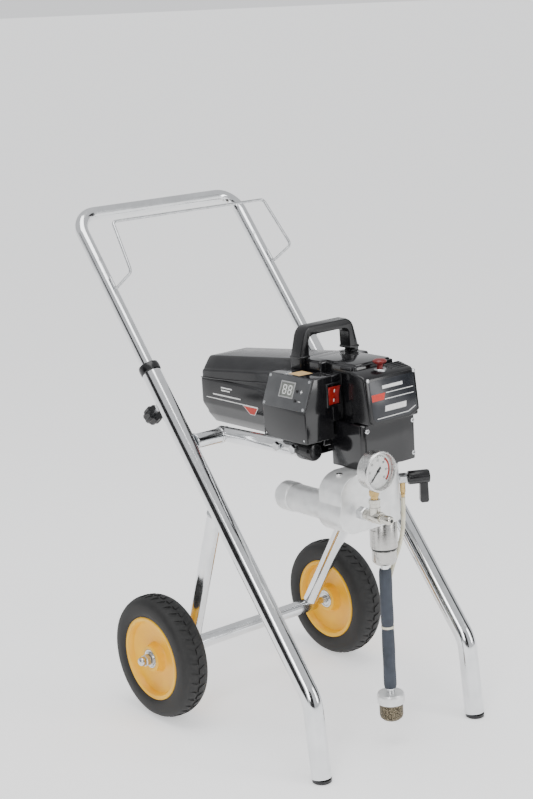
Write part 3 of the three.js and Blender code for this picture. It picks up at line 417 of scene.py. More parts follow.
def weld_bead(place, across, radius, thickness, name, x):
    """A ring of weld metal round a joint, a little uneven."""
    bpy.ops.object.select_all(action="DESELECT")
    turn = Vector(across).to_track_quat("Z", "Y").to_euler()
    bpy.ops.mesh.primitive_torus_add(location=place, rotation=turn, major_radius=radius,
                                     minor_radius=thickness, major_segments=48, minor_segments=8)
    bead = bpy.context.object
    edit()
    bpy.ops.mesh.select_all(action="SELECT")
    bpy.ops.transform.vertex_random(offset=thickness * 0.25, seed=3)
    edit_done()
    cut_away(bead, tube_hollow(x))
    settle(bead, name, chrome, "frame", sharp=80)


for word, side in SIDES:
    low = Vector((side * 0.1315, AXLE_CENTRE.y, AXLE_HEIGHT))
    high = on_tube(side * TRACK / 2, 0.396)
    along = (high - low).normalized()
    strut = bent_tube([low + along * 0.0125, high - along * 0.0165], SMALL_TUBE, 0.06)
    cut_away(strut, tube_hollow(side * TRACK / 2))
    settle(strut, f"chromed_strut_{word}", chrome, "frame", [f"strut_{word}"])
    weld_bead(high - along * 0.0185, along, 0.0125, 0.0014, f"strut_weld_{word}", side * TRACK / 2)

axle_tube = bent_tube([AXLE_CENTRE - Vector((0.146, 0, 0)), AXLE_CENTRE + Vector((0.146, 0, 0))],
                      SMALL_TUBE, 0.06)
settle(axle_tube, "chromed_axle_tube", chrome, "frame", ["axle_tube"])

# ---------------------------------------------------------------------------
# Rails: two 25 mm tubes run forward under the sprayer from short cross stubs
# welded to the side tubes. Each ends in a black cap.
# ---------------------------------------------------------------------------
RAIL_RISE = math.radians(3.2)
RAIL_AHEAD = Vector((0, -math.cos(RAIL_RISE), math.sin(RAIL_RISE)))
RAIL_START = on_tube(0, 0.484)
RAIL_X, RAIL_LENGTH = 0.089, 0.222

for word, side in SIDES:
    corner = Vector((side * RAIL_X, RAIL_START.y, RAIL_START.z))
    root = Vector((side * (TRACK / 2 - 0.0155), RAIL_START.y, RAIL_START.z))
    inward = Vector((-side, 0, 0))
    stub = bent_tube([root, corner + inward * 0.004], SMALL_TUBE, 0.03)
    settle(stub, f"rail_stub_{word}", chrome, "frame")
    runner = bent_tube([corner - RAIL_AHEAD * SMALL_TUBE, corner + RAIL_AHEAD * RAIL_LENGTH], SMALL_TUBE,
                       0.03)
    settle(runner, f"rail_tube_{word}", chrome, "frame", [f"rail_{word}"])
    weld_bead(corner - inward * 0.0125, inward, 0.0126, 0.0013, f"rail_weld_{word}", side * TRACK / 2)
    weld_bead(root + inward * 0.0015, inward, 0.0126, 0.0013, f"stub_weld_{word}", side * TRACK / 2)
    end = corner + RAIL_AHEAD * RAIL_LENGTH
    cap = turned_piece(end + RAIL_AHEAD * 0.006, -RAIL_AHEAD,
                       [(0.0095, 0), (0.0125, 0.0009), (0.0143, 0.0034), (0.0149, 0.007), (0.0149, 0.029),
                        (0.0143, 0.0325), (0.0129, 0.033)])
    settle(cap, f"rail_end_cap_{word}", black_plastic, "frame", [f"rail_cap_{word}"])

# ---------------------------------------------------------------------------
# Push handle: one 22 mm tube bent twice, which slides in the side tubes, with a
# zinc plated wire rack for the hose welded to it.
# ---------------------------------------------------------------------------
HANDLE_RADIUS = 0.01096
HANDLE_TOP = 0.830
RACK_WIRE = 0.0025
handle_low = SIDE_TUBE_TOP - 0.180 * math.cos(LEAN)
half_track = TRACK / 2
handle = bent_tube([on_tube(-half_track, handle_low), on_tube(-half_track, HANDLE_TOP),
                    on_tube(half_track, HANDLE_TOP), on_tube(half_track, handle_low)], HANDLE_RADIUS,
                   0.038)
settle(handle, "chromed_push_handle", chrome, "handle", ["handle_bow"])


def zinc_plate():
    material, tree, shader = shaded("zinc_plate", (0.62, 0.63, 0.64), 0.32, 1.0)
    bloom = object_pattern(tree, "ShaderNodeTexNoise", Scale=160.0, Detail=5.0)
    tree.links.new(spread(tree, bloom, 0.22, 0.42), shader.inputs["Roughness"])
    tree.links.new(tinted(tree, bloom, (0.50, 0.51, 0.52), (0.74, 0.75, 0.76)), shader.inputs["Base Color"])
    raised(tree, shader, bloom, 0.08, 0.0003)
    return material


zinc = zinc_plate()
wire_gap = HANDLE_RADIUS + RACK_WIRE + GAP
wire_ahead = Vector((0, -math.cos(LEAN), math.sin(LEAN)))


def rack_hook(side):
    """One side of the rack: a short leg on the handle tube, then back and up."""
    leg = [on_tube(side * half_track, z) + wire_ahead * wire_gap for z in (0.727, 0.709)]
    return [*leg, Vector((side * (half_track + 0.001), 0.056 + row_shift, 0.752)),
            Vector((side * (half_track - 0.009), 0.116 + row_shift, 0.828))]


rack = bent_tube([*rack_hook(-1), *reversed(rack_hook(1))], RACK_WIRE, 0.007, sides=14, bend_steps=8)
settle(rack, "hose_rack_wire", zinc, "handle", ["hose_rack"])

# ---------------------------------------------------------------------------
# Clamp knobs: black plastic grips with eight flutes on a short steel stud, which
# press the handle tube fast. A nut is welded on the tube for each.
# ---------------------------------------------------------------------------
def fluted_knob(place, direction, radius, depth, flutes, flute_radius):
    """A round grip with flutes cut round its edge."""
    grip = turned_piece(place, direction, [(radius * 0.55, 0), (radius * 0.92, 0.0008), (radius, 0.003),
                                           (radius, depth - 0.004), (radius * 0.93, depth - 0.0012),
                                           (radius * 0.6, depth), (radius * 0.3, depth - 0.0006)], sides=96)
    across = Vector(direction).orthogonal().normalized()
    for i in range(flutes):
        spoke = Matrix.Rotation(2 * math.pi * i / flutes, 3, Vector(direction)) @ across
        bpy.ops.object.select_all(action="DESELECT")
        bpy.ops.mesh.primitive_cylinder_add(vertices=20, radius=flute_radius, depth=depth * 3,
                                            location=Vector(place) + spoke * (radius + flute_radius * 0.45),
                                            rotation=Vector(direction).to_track_quat("Z", "Y").to_euler())
        cut_away(grip, bpy.context.object)
    return grip


def hexagon(place, direction, across_flats, thickness, name, material, body):
    """A hexagonal nut or bolt head with its corners chamfered."""
    radius = across_flats / math.sqrt(3)
    nut = turned_piece(place, direction, [(radius * 0.90, 0), (radius, thickness * 0.14),
                                          (radius, thickness * 0.86), (radius * 0.90, thickness)], sides=6)
    return settle(nut, name, material, body, sharp=20)


for word, side in SIDES:
    centre = on_tube(side * half_track, 0.547)
    grip = fluted_knob(centre + OUT_OF_TUBE * 0.0385, OUT_OF_TUBE, 0.0155, 0.0190, 8, 0.0050)
    settle(grip, f"clamp_grip_{word}", black_plastic, f"clamp_{word}",
           [f"clamp_knob_{word}"])
    stud = turned_piece(centre + OUT_OF_TUBE * 0.0165, OUT_OF_TUBE,
                        [(0.0034, 0), (0.004, 0.0006), (0.004, 0.0225)], 20)
    settle(stud, f"clamp_stud_{word}", zinc, f"clamp_{word}")
    hexagon(centre + OUT_OF_TUBE * 0.0158, OUT_OF_TUBE, 0.0150, 0.0075, f"clamp_nut_{word}", zinc, "frame")

# ---------------------------------------------------------------------------
# Wheels: a moulded yellow hub, dished on both sides with a raised boss, a solid
# rubber tyre with a chevron tread, and a steel bearing pressed in the middle.
# ---------------------------------------------------------------------------
WHEEL_X = 0.196
RIM_RADIUS = 0.072
TYRE_HALF = 0.026


def moulded_yellow():
    material, tree, shader = shaded("moulded_yellow", (0.95, 0.50, 0.004), 0.34)
    shade = object_pattern(tree, "ShaderNodeTexNoise", Scale=22.0, Detail=5.0)
    tree.links.new(tinted(tree, shade, (0.90, 0.44, 0.002), (1.0, 0.56, 0.006)), shader.inputs["Base Color"])
    tree.links.new(spread(tree, shade, 0.30, 0.46), shader.inputs["Roughness"])
    grain = object_pattern(tree, "ShaderNodeTexNoise", Scale=1500.0, Detail=2.0)
    raised(tree, shader, grain, 0.08, 0.0002)
    return material


def tyre_rubber():
    material, tree, shader = shaded("tyre_rubber", (0.012, 0.012, 0.012), 0.55)
    dust = object_pattern(tree, "ShaderNodeTexNoise", Scale=60.0, Detail=8.0, Roughness=0.7)
    tree.links.new(tinted(tree, dust, (0.007, 0.007, 0.007), (0.020, 0.0195, 0.019)),
                   shader.inputs["Base Color"])
    tree.links.new(spread(tree, dust, 0.5, 0.78), shader.inputs["Roughness"])
    skin = object_pattern(tree, "ShaderNodeTexNoise", Scale=900.0, Detail=4.0)
    raised(tree, shader, skin, 0.2, 0.0003)
    return material


def machined_steel():
    material, tree, shader = shaded("machined_steel", (0.62, 0.62, 0.61), 0.24, 1.0)
    lathe = object_pattern(tree, "ShaderNodeTexNoise", Scale=340.0, Detail=3.0)
    tree.links.new(spread(tree, lathe, 0.16, 0.34), shader.inputs["Roughness"])
    tree.links.new(tinted(tree, lathe, (0.54, 0.54, 0.53), (0.72, 0.72, 0.71)), shader.inputs["Base Color"])
    raised(tree, shader, lathe, 0.06, 0.0002)
    return material


yellow = moulded_yellow()
rubber = tyre_rubber()
steel = machined_steel()
ACROSS = Vector((1, 0, 0))


def tyre_body(centre):
    tread = AXLE_HEIGHT - 0.0024
    inner = RIM_RADIUS + GAP
    profile = [(inner, -0.0225), (inner + 0.004, -0.0252), (0.083, -TYRE_HALF), (0.0925, -0.0255),
               (0.0985, -0.0232), (tread - 0.0012, -0.0178), (tread, -0.0125), (tread + 0.0004, 0),
               (tread, 0.0125), (tread - 0.0012, 0.0178), (0.0985, 0.0232), (0.0925, 0.0255),
               (0.083, TYRE_HALF), (inner + 0.004, 0.0252), (inner, 0.0225)]
    return hollow_turned_piece(centre, ACROSS, profile, sides=96)


def chevron(side_lean):
    """One bar of the tread, lying on the tyre's top, which is then copied round it."""
    bpy.ops.object.select_all(action="DESELECT")
    bpy.ops.mesh.primitive_cube_add(size=1, location=(0, 0, 0))
    bar = bpy.context.object
    edit("FACE")
    bpy.ops.mesh.select_all(action="SELECT")
    bpy.ops.transform.resize(value=(0.0195, 0.0088, 0.0040))
    bpy.ops.mesh.subdivide(number_cuts=3)
    edit_done()
    for vertex in bar.data.vertices:
        reach = max(vertex.co.x / 0.0195 + 0.5, 0)
        vertex.co.y += reach * 0.0085
        vertex.co.z -= reach ** 2.6 * 0.0080 + vertex.co.y ** 2 / (2 * AXLE_HEIGHT)
        vertex.co.x = (reach * 0.0212 + 0.0016) * side_lean
    return bar


def full_tyre(centre):
    """The tyre with its tread bars on."""
    tyre = tyre_body(centre)
    bars = 38
    pieces = [tyre]
    for lean in (-1, 1):
        pattern = chevron(lean)
        for i in range(bars):
            turn = 2 * math.pi * (i + (0.5 if lean > 0 else 0.0)) / bars
            copy = pattern.copy()
            copy.data = pattern.data.copy()
            bpy.context.scene.collection.objects.link(copy)
            spin = Matrix.Rotation(turn, 4, "X")
            lifted = Matrix.Translation((0, 0, AXLE_HEIGHT - 0.0021))
            copy.matrix_world = Matrix.Translation(centre) @ spin @ lifted
            pieces.append(copy)
        bpy.data.objects.remove(pattern)
    bpy.ops.object.select_all(action="DESELECT")
    for piece in pieces:
        piece.select_set(True)
    bpy.context.view_layer.objects.active = tyre
    bpy.ops.object.join()
    return tyre


for word, side in SIDES:
    centre = Vector((side * WHEEL_X, AXLE_CENTRE.y, AXLE_HEIGHT))
    tyre = full_tyre(centre)
    settle(tyre, f"rubber_tyre_{word}", rubber, f"wheel_{word}", [f"tyre_{word}"], sharp=40)

    half = [(0.0165, 0.0236), (0.0205, 0.0238), (0.0222, 0.0225), (0.0236, 0.0120), (0.0262, 0.0085),
            (0.0300, 0.0075), (0.0440, 0.0080), (0.0570, 0.0105), (0.0610, 0.0135), (0.0638, 0.0215),
            (0.0650, 0.0228), (0.0690, 0.0238), (0.0715, 0.0228), (RIM_RADIUS, 0.0205)]
    profile = [(r, -s) for r, s in half] + [(r, s) for r, s in reversed(half)]
    hub = hollow_turned_piece(centre, ACROSS, profile, sides=80)
    settle(hub, f"dished_hub_{word}", yellow, f"wheel_{word}", [f"wheel_hub_{word}"])

    race = [(0.0068, -0.0236), (0.0105, -0.0236), (0.0112, -0.0226), (0.0126, -0.0226), (0.0134, -0.0236),
            (0.0157, -0.0236), (0.0157, 0.0236), (0.0134, 0.0236), (0.0126, 0.0226), (0.0112, 0.0226),
            (0.0105, 0.0236), (0.0068, 0.0236)]
    bearing = hollow_turned_piece(centre, ACROSS, race, sides=48)
    settle(bearing, f"hub_bearing_{word}", steel, f"wheel_{word}",
           [f"wheel_bearing_{word}"])

# ---------------------------------------------------------------------------
# Axle: a 12 mm steel bar right through, with a washer, a nut and a domed acorn
# nut outside each wheel.
# ---------------------------------------------------------------------------
bar = turned_piece(AXLE_CENTRE, ACROSS, [(0.0052, -0.2400), (0.006, -0.2390), (0.006, 0.2390),
                                         (0.0052, 0.2400)], 32)
settle(bar, "axle_bar", steel, "frame", ["axle"])
for word, side in SIDES:
    face = Vector((side * 0.2206, AXLE_CENTRE.y, AXLE_HEIGHT))
    out = ACROSS * side
    washer = hollow_turned_piece(face, out, [(0.0064, 0), (0.0120, 0), (0.0120, 0.0018),
                                             (0.0064, 0.0018)], 40)
    settle(washer, f"axle_washer_{word}", zinc, "frame")
    hexagon(face + out * 0.0022, out, 0.0185, 0.0090, f"axle_nut_{word}", zinc, "frame")
    dome = [(0.0070, 0), (0.0078, 0.0008), (0.0078, 0.0040), (0.0074, 0.0062), (0.0062, 0.0082),
            (0.0042, 0.0097), (0.0015, 0.0103)]
    acorn = turned_piece(face + out * 0.0114, out, dome, 28)
    settle(acorn, f"axle_acorn_nut_{word}", steel, "frame")

# ---------------------------------------------------------------------------
# The sprayer's own frame: it hangs level with the rails, tipped forward a little.
# Its pieces are placed by X across, Y along the motor and Z up from the rails.
# The first of them is the painted steel tray that bolts it down, with four bolts.
# ---------------------------------------------------------------------------
TILT = math.radians(1.5)
SPRAYER = Matrix.Translation(RAIL_START) @ Matrix.Rotation(-TILT, 4, "X")


def at(x, y, z):
    """A point of the sprayer, in millimetres of its own frame."""
    return SPRAYER @ Vector((x * MM, y * MM, z * MM))


def way(x, y, z):
    return SPRAYER.to_3x3() @ Vector((x, y, z))


ACROSS_S, ALONG_S, UP_S = way(1, 0, 0), way(0, 1, 0), way(0, 0, 1)


def outlined(points, plane, low, high):
    """A plate with a drawn outline, pushed out from low to high across its plane, in sprayer millimetres."""
    bpy.ops.object.select_all(action="DESELECT")
    bpy.ops.mesh.primitive_circle_add(vertices=len(points), radius=1, fill_type="NGON")
    piece = bpy.context.object
    lift = {
        "xz": lambda a, b, c: (a, c, b),
        "yz": lambda a, b, c: (c, a, b),
        "xy": lambda a, b, c: (a, b, c),
    }[plane]
    for vertex, (a, b) in zip(piece.data.vertices, points):
        vertex.co = at(*lift(a, b, low))
    edit("FACE")
    bpy.ops.mesh.select_all(action="SELECT")
    extruded(at(*lift(0, 0, high)) - at(*lift(0, 0, low)))
    edit_done()
    return piece


def brick(low, high):
    """A block between two corners, in sprayer millimetres."""
    return outlined([(low[0], low[1]), (high[0], low[1]), (high[0], high[1]), (low[0], high[1])], "xy",
                    low[2], high[2])


def rounded(piece, width, segments=3, angle=30):
    """Rounds the sharp edges of a piece."""
    only_this(piece)
    edge = piece.modifiers.new("soft_edges", "BEVEL")
    edge.width = width * MM
    edge.segments = segments
    edge.limit_method = "ANGLE"
    edge.angle_limit = math.radians(angle)
    edge.harden_normals = False
    bpy.ops.object.modifier_apply(modifier=edge.name)
    return piece


def gloss_black_paint():
    material, tree, shader = shaded("gloss_black_paint", (0.006, 0.006, 0.007), 0.14)
    peel = object_pattern(tree, "ShaderNodeTexNoise", Scale=420.0, Detail=2.0)
    raised(tree, shader, peel, 0.03, 0.0003)
    haze = object_pattern(tree, "ShaderNodeTexNoise", Scale=30.0, Detail=5.0)
    tree.links.new(spread(tree, haze, 0.09, 0.17), shader.inputs["Roughness"])
    tree.links.new(tinted(tree, haze, (0.004, 0.004, 0.005), (0.009, 0.009, 0.010)),
                   shader.inputs["Base Color"])
    shader.inputs["Coat Weight"].default_value = 0.3
    shader.inputs["Coat Roughness"].default_value = 0.08
    return material


black_paint = gloss_black_paint()
tray = clean_mesh(outlined([(-74.5, -8), (74.5, -8), (74.5, 22), (71.5, 22), (71.5, -5), (-71.5, -5),
                            (-71.5, 22), (-74.5, 22)], "xz", -200, -108))
settle(rounded(tray, 0.8, 2), "mounting_tray", black_paint, "frame", ["mount_plate"])
pad = clean_mesh(brick((-40, -199, -4.8), (40, -158, 2.6)))
settle(rounded(pad, 1.0, 2), "tray_spacer", black_paint, "frame")

for word, side in SIDES:
    for i, (y, z) in enumerate(((-190, 8.4), (-150, 7.2))):
        head = at(side * 101.8, y, z)
        hexagon(head, ACROSS_S * side, 0.0130, 0.0062, f"rail_bolt_{word}_{i + 1}", zinc, "frame")

# ---------------------------------------------------------------------------
# Motor cover: a moulded black shell with a ledge and a raised rib along each
# side, louvres at the back, and a printed panel of plain bars on each side.
# ---------------------------------------------------------------------------
MOTOR_REAR, MOTOR_FRONT = 100, -157.6
COVER_TOP_REAR, COVER_TOP_FRONT = 112, 136.6


def cover_height(y):
    """Height of the cover's flat top, which falls to the rear."""
    share = (MOTOR_REAR - y) / (MOTOR_REAR - MOTOR_FRONT)
    return COVER_TOP_REAR + (COVER_TOP_FRONT - COVER_TOP_REAR) * share


def cover_section(y, shrink=0.0):
    """Half the cover's section at one place along it, from the bottom to the top."""
    top = cover_height(y) - shrink
    points = [(0, -3.8), (30, -3.8), (35, -2.5), (47, 12.5), (49, 15.5), (50.2, 20), (58.5, 33),
              (59.8, 37), (59.8, 74), (58.8, 77.5), (57.0, 79.2), (57.0, top - 25), (56.0, top - 21.5),
              (53.4, top - 19.8), (52.6, top - 18), (41.5, top - 2.6), (37.8, top)]
    return [(x - min(shrink, x), max(z, -3.8 + shrink)) for x, z in points]


def drawn_through(sections):
    """A closed skin drawn through a row of sections, each a ring of the same number of points."""
    count = len(sections[0])
    bpy.ops.object.select_all(action="DESELECT")
    bpy.ops.mesh.primitive_circle_add(vertices=count, radius=1)
    piece = bpy.context.object
    edit()
    bpy.ops.mesh.select_all(action="SELECT")
    for _ in sections[1:]:
        extruded((0, 0, 1))
    close_ends()
    edit_done()
    for vertex in piece.data.vertices:
        turn = math.atan2(vertex.co.y, vertex.co.x) - math.pi / 2
        corner = round(turn * count / (2 * math.pi)) % count
        vertex.co = at(*sections[round(vertex.co.z)][corner])
    return clean_mesh(piece)


def motor_section(y, shrink):
    half = cover_section(y, shrink)[1:]
    return [(x, y, z) for x, z in half] + [(-x, y, z) for x, z in reversed(half)]


stations = ((-157.6, 0.8), (-156.4, 0), (-110, 0), (-70, 0), (-36, 0), (20, 0), (70, 0), (92, 0),
            (97, 0.9), (99.6, 3))
shell = rounded(drawn_through([motor_section(y, shrink) for y, shrink in stations]), 0.8, 2, 24)
for i in range(6):
    slot_cut = outlined([(-34, 34 + i * 9), (34, 34 + i * 9), (34, 38 + i * 9), (-34, 38 + i * 9)], "xz",
                        96, 110)
    cut_away(shell, slot_cut)
settle(shell, "motor_cover_shell", black_plastic, "frame", ["motor_cover"], sharp=24)


def rib(points, width, face, side, name, height=0.9):
    """A raised line along the side of the motor cover, through (y, z) points."""
    upper = [(y, z + width / 2) for y, z in points]
    lower = [(y, z - width / 2) for y, z in reversed(points)]
    low, high = sorted((side * (face - 0.4), side * (face + height)))
    bar = clean_mesh(outlined(upper + lower, "yz", low, high))
    return settle(rounded(bar, 0.35, 2), name, black_plastic, "frame")


def print_ink(name, colour, roughness=0.35):
    material, tree, shader = shaded(name, colour, roughness)
    wear = object_pattern(tree, "ShaderNodeTexNoise", Scale=300.0, Detail=4.0)
    dark = tuple(c * 0.86 for c in colour)
    tree.links.new(tinted(tree, wear, dark, colour), shader.inputs["Base Color"])
    tree.links.new(spread(tree, wear, roughness - 0.08, roughness + 0.1), shader.inputs["Roughness"])
    return material


white_ink = print_ink("white_ink", (0.86, 0.86, 0.85))
red_ink = print_ink("red_ink", (0.62, 0.035, 0.018))


def printed(points, plane, low, high, name, material, slot="label_film"):
    mark = clean_mesh(outlined(points, plane, *sorted((low, high))))
    return settle(mark, name, material, "frame", sharp=20)


for word, side in SIDES:
    rib([(97, 78.3), (60, 79.5), (0, 83.5), (-82, 91.0), (-128, 93.5)], 2.0, 59.2, side, f"cover_rib_{word}")
    ink = [side * 59.78, side * 59.95]
    printed([(84, 45.6), (-13, 45.0), (-31, 31.6), (-44, 31.6), (-53, 44.6), (-52, 46.4), (84, 47.0)],
            "yz", *ink, f"cover_wave_{word}", white_ink)
    printed([(-15, 44.2), (-31.5, 32.6), (-43.2, 32.6), (-51, 44.2)], "yz", side * 59.8, side * 60.0,
            f"cover_wedge_{word}", red_ink)
    for i, (start, end, z) in enumerate(((43, 14, 67), (43, 20, 62.4), (66, -8, 53.5))):
        printed([(start, z - 1.1), (end, z - 1.1), (end, z + 1.1), (start, z + 1.1)], "yz", *ink,
                f"cover_bar_{word}_{i + 1}", white_ink)


# ---------------------------------------------------------------------------
# Motor lead: a short black rubber lead that comes out low on the motor cover and
# goes up into the back of the control box.
# ---------------------------------------------------------------------------
def sheath_rubber():
    material, tree, shader = shaded("sheath_rubber", (0.016, 0.016, 0.016), 0.5)
    skin = object_pattern(tree, "ShaderNodeTexNoise", Scale=700.0, Detail=3.0)
    raised(tree, shader, skin, 0.15, 0.0002)
    tree.links.new(spread(tree, skin, 0.42, 0.6), shader.inputs["Roughness"])
    return material


lead_rubber = sheath_rubber()


def smooth_lead(points, radius, name, material, body, stands_for):
    """A round lead through points, drawn as one smooth curve with a round section."""
    curve = bpy.data.curves.new(name, "CURVE")
    curve.dimensions = "3D"
    curve.bevel_depth = radius
    curve.bevel_resolution = 5
    curve.use_fill_caps = True
    line = curve.splines.new("NURBS")
    line.points.add(len(points) - 1)
    for place, point in zip(line.points, points):
        place.co = (*at(*point), 1)
    line.use_endpoint_u = True
    line.order_u = 4
    line.resolution_u = 8
    lead = bpy.data.objects.new(name, curve)
    bpy.context.scene.collection.objects.link(lead)
    only_this(lead)
    bpy.ops.object.convert(target="MESH")
    return settle(bpy.context.object, name, material, body, stands_for, sharp=60)


smooth_lead([(-48, -74, 10.5), (-52, -80, 5), (-58, -90, 6), (-65, -101, 19), (-74, -115, 38),
             (-81, -126, 56), (-84, -134, 66), (-84, -140, 69.5), (-84, -146, 70), (-84, -152, 70)],
            0.003, "motor_lead_sheath", lead_rubber, "frame", ["motor_lead"])

# ---------------------------------------------------------------------------
# Gear case: a painted aluminium casting with a narrow neck in front and the wide
# pump mount under it. It holds the gears and carries everything on the sprayer.
# ---------------------------------------------------------------------------
case = rounded(clean_mesh(brick((-51.8, -204, 3), (51.8, -158.2, 139.8))), 4, 4)
settle(case, "gear_case", black_paint, "frame", ["gear_housing"])
neck = rounded(clean_mesh(brick((-39.8, -272.0, 3), (39.8, -203, 137.6))), 3, 3)
settle(neck, "gear_case_neck", black_paint, "frame")
mount_outline = [(-55.5, -226), (55.5, -226), (55.5, -290), (50, -302), (22, -302), (18, -300.6),
                 (-50, -300.6), (-55.5, -294)]
mount = rounded(clean_mesh(outlined(mount_outline, "xy", -20, 51.7)), 2.2, 4)
settle(mount, "pump_mount_casting", black_paint, "frame")
for i, (x, z) in enumerate(((47, -10), (47, 42), (-47, 42), (-47, -10))):
    front = -298.6 if x < 0 else -299.2
    screw = turned_piece(at(x, front, z), -ALONG_S, [(0.0040, 0), (0.0040, 0.0020), (0.0034, 0.0030),
                                                     (0.0015, 0.0033)], 24)
    cut_away(screw, turned_piece(at(x, front - 1.2, z), -ALONG_S, [(0.0017, 0), (0.0017, 0.004)], 6))
    settle(screw, f"mount_screw_{i + 1}", zinc, "frame")
lid = rounded(clean_mesh(brick((-36, -268, 135), (36, -176, 139.9))), 1.6, 3)
settle(lid, "gear_case_lid", black_paint, "frame")

# ---------------------------------------------------------------------------
# Front cover: a moulded black cover whose face leans forward, with ribs across
# its top and the printed shield screwed to its face at two corners.
# ---------------------------------------------------------------------------
COVER_FACE_TOP, COVER_FACE_LOW = -304, -312
COVER_LOW_Z = 52.3
face_outline = [(-272.3, COVER_LOW_Z), (COVER_FACE_LOW, COVER_LOW_Z), (COVER_FACE_TOP, 122.8),
                (-299, 126.8), (-272.3, 132.8)]
front = rounded(clean_mesh(outlined(face_outline, "yz", -51.8, 51.8)), 3.2, 4)
settle(front, "front_cover_shell", black_plastic, "frame", ["front_cover"])
for i in range(4):
    y = -276.5 - i * 5.6
    z = 132.8 - (-272.3 - y) * 0.2247
    bar = rounded(clean_mesh(brick((14, y - 1.6, z - 1.5), (47, y + 1.6, z + 1.1))), 1.0, 3)
    settle(bar, f"front_cover_rib_{i + 1}", black_plastic, "frame")

FACE_LEAN = math.atan2(8, 70.7)


def on_face(x, up, out):
    """A point on the shield, up its slope and out from it, in sprayer millimetres."""
    y = COVER_FACE_LOW - 0.45 + up * math.sin(FACE_LEAN) - out * math.cos(FACE_LEAN)
    return x, y, COVER_LOW_Z + up * math.cos(FACE_LEAN) + out * math.sin(FACE_LEAN)


def on_shield(points, low, high):
    """A plate lying on the shield, drawn by (x, height) points."""
    return drawn_through([[on_face(x, z - COVER_LOW_Z, out) for x, z in points] for out in (low, high)])


def shield_film():
    material, tree, shader = shaded("shield_film", (0.020, 0.022, 0.028), 0.18)
    flow = object_pattern(tree, "ShaderNodeTexNoise", Scale=55.0, Detail=4.0)
    tree.links.new(tinted(tree, flow, (0.016, 0.018, 0.022), (0.028, 0.030, 0.036)),
                   shader.inputs["Base Color"])
    tree.links.new(spread(tree, flow, 0.17, 0.3), shader.inputs["Roughness"])
    fine = object_pattern(tree, "ShaderNodeTexNoise", Scale=1100.0, Detail=2.0)
    raised(tree, shader, fine, 0.06, 0.0002)
    return material


shield_black = shield_film()
shield_outline = [(-51.5, 124), (51.5, 124), (51.5, 61), (32, 53.5), (-46, 52.8), (-51.5, 60)]
shield = rounded(on_shield(shield_outline, 0, 2.6), 1.2, 3)
settle(shield, "shield_plate", black_plastic, "frame", ["label_plate"])
film_outline = [(-44, 119.5), (44, 119.5), (47, 116.5), (47.5, 65), (30, 57.5), (-40, 56.8), (-45, 62),
                (-46.5, 116.5)]
film = rounded(on_shield(film_outline, 2.5, 2.9), 0.15, 2)
settle(film, "shield_print_ground", shield_black, "frame")
marks = {
    "upper_line": [(-14, 97.6), (43, 97.6), (43, 98.8), (-13.6, 98.8)],
    "lower_line": [(-18, 88.4), (43, 88.4), (43, 89.6), (-17.4, 89.6)],
    "upper_bar": [(-20, 105), (22, 105), (22, 110), (-20, 110)],
    "lower_bar": [(-20, 70), (24, 70), (26, 78.5), (-18, 78.5)],
    "edge_line": [(-37, 60.6), (28, 61.2), (44, 67.5), (43.6, 68.6), (27.8, 62.4), (-37.2, 61.8)],
}
for name, points in marks.items():
    settle(on_shield(points, 2.8, 3.02), f"shield_{name}", white_ink, "frame")
settle(on_shield([(-43.5, 88.4), (-19.5, 88.4), (-15.5, 98.8), (-43.5, 98.8)], 2.8, 3.02),
       "shield_red_block", red_ink, "frame")
for i, side in enumerate((-1, 1)):
    place = at(*on_face(side * 47.6, 69.5, 2.5))
    outward = way(0, -math.cos(FACE_LEAN), math.sin(FACE_LEAN))
    screw = turned_piece(place, outward, [(0.0030, 0), (0.0030, 0.0010), (0.0024, 0.0016),
                                          (0.0010, 0.0019)], 24)
    settle(screw, f"shield_screw_{i + 1}", zinc, "frame")

# ---------------------------------------------------------------------------
# Oiler button: a dark red mushroom cap on a stem, in a grey ring on the cover.
# ---------------------------------------------------------------------------
def button_red():
    material, tree, shader = shaded("button_red", (0.16, 0.010, 0.010), 0.28)
    tone = object_pattern(tree, "ShaderNodeTexNoise", Scale=120.0, Detail=3.0)
    tree.links.new(tinted(tree, tone, (0.13, 0.008, 0.008), (0.20, 0.013, 0.012)),
                   shader.inputs["Base Color"])
    raised(tree, shader, tone, 0.05, 0.0002)
    return material


dark_red = button_red()
cap = turned_piece(at(-3, -287, 0), UP_S, [(0.0046, 0.1182), (0.0046, 0.1362), (0.0062, 0.1380),
                                           (0.0100, 0.1405), (0.0110, 0.1420), (0.0108, 0.1437),
                                           (0.0088, 0.1455), (0.0050, 0.1466), (0.0015, 0.1469)], 36)
settle(cap, "oiler_button_cap", dark_red, "oiler", ["oiler_button"])
seat = hollow_turned_piece(at(-3, -287, 0), UP_S, [(0.0058, 0.1262), (0.0098, 0.1262), (0.0098, 0.1302),
                                                   (0.0088, 0.1312), (0.0064, 0.1312), (0.0058, 0.1306)], 36)
settle(seat, "oiler_button_seat", zinc, "frame")
pocket = rounded(clean_mesh(brick((-44, -266, 130), (-14, -240, 136))), 2.5, 4)
settle(pocket, "cover_latch_pad", black_plastic, "frame")

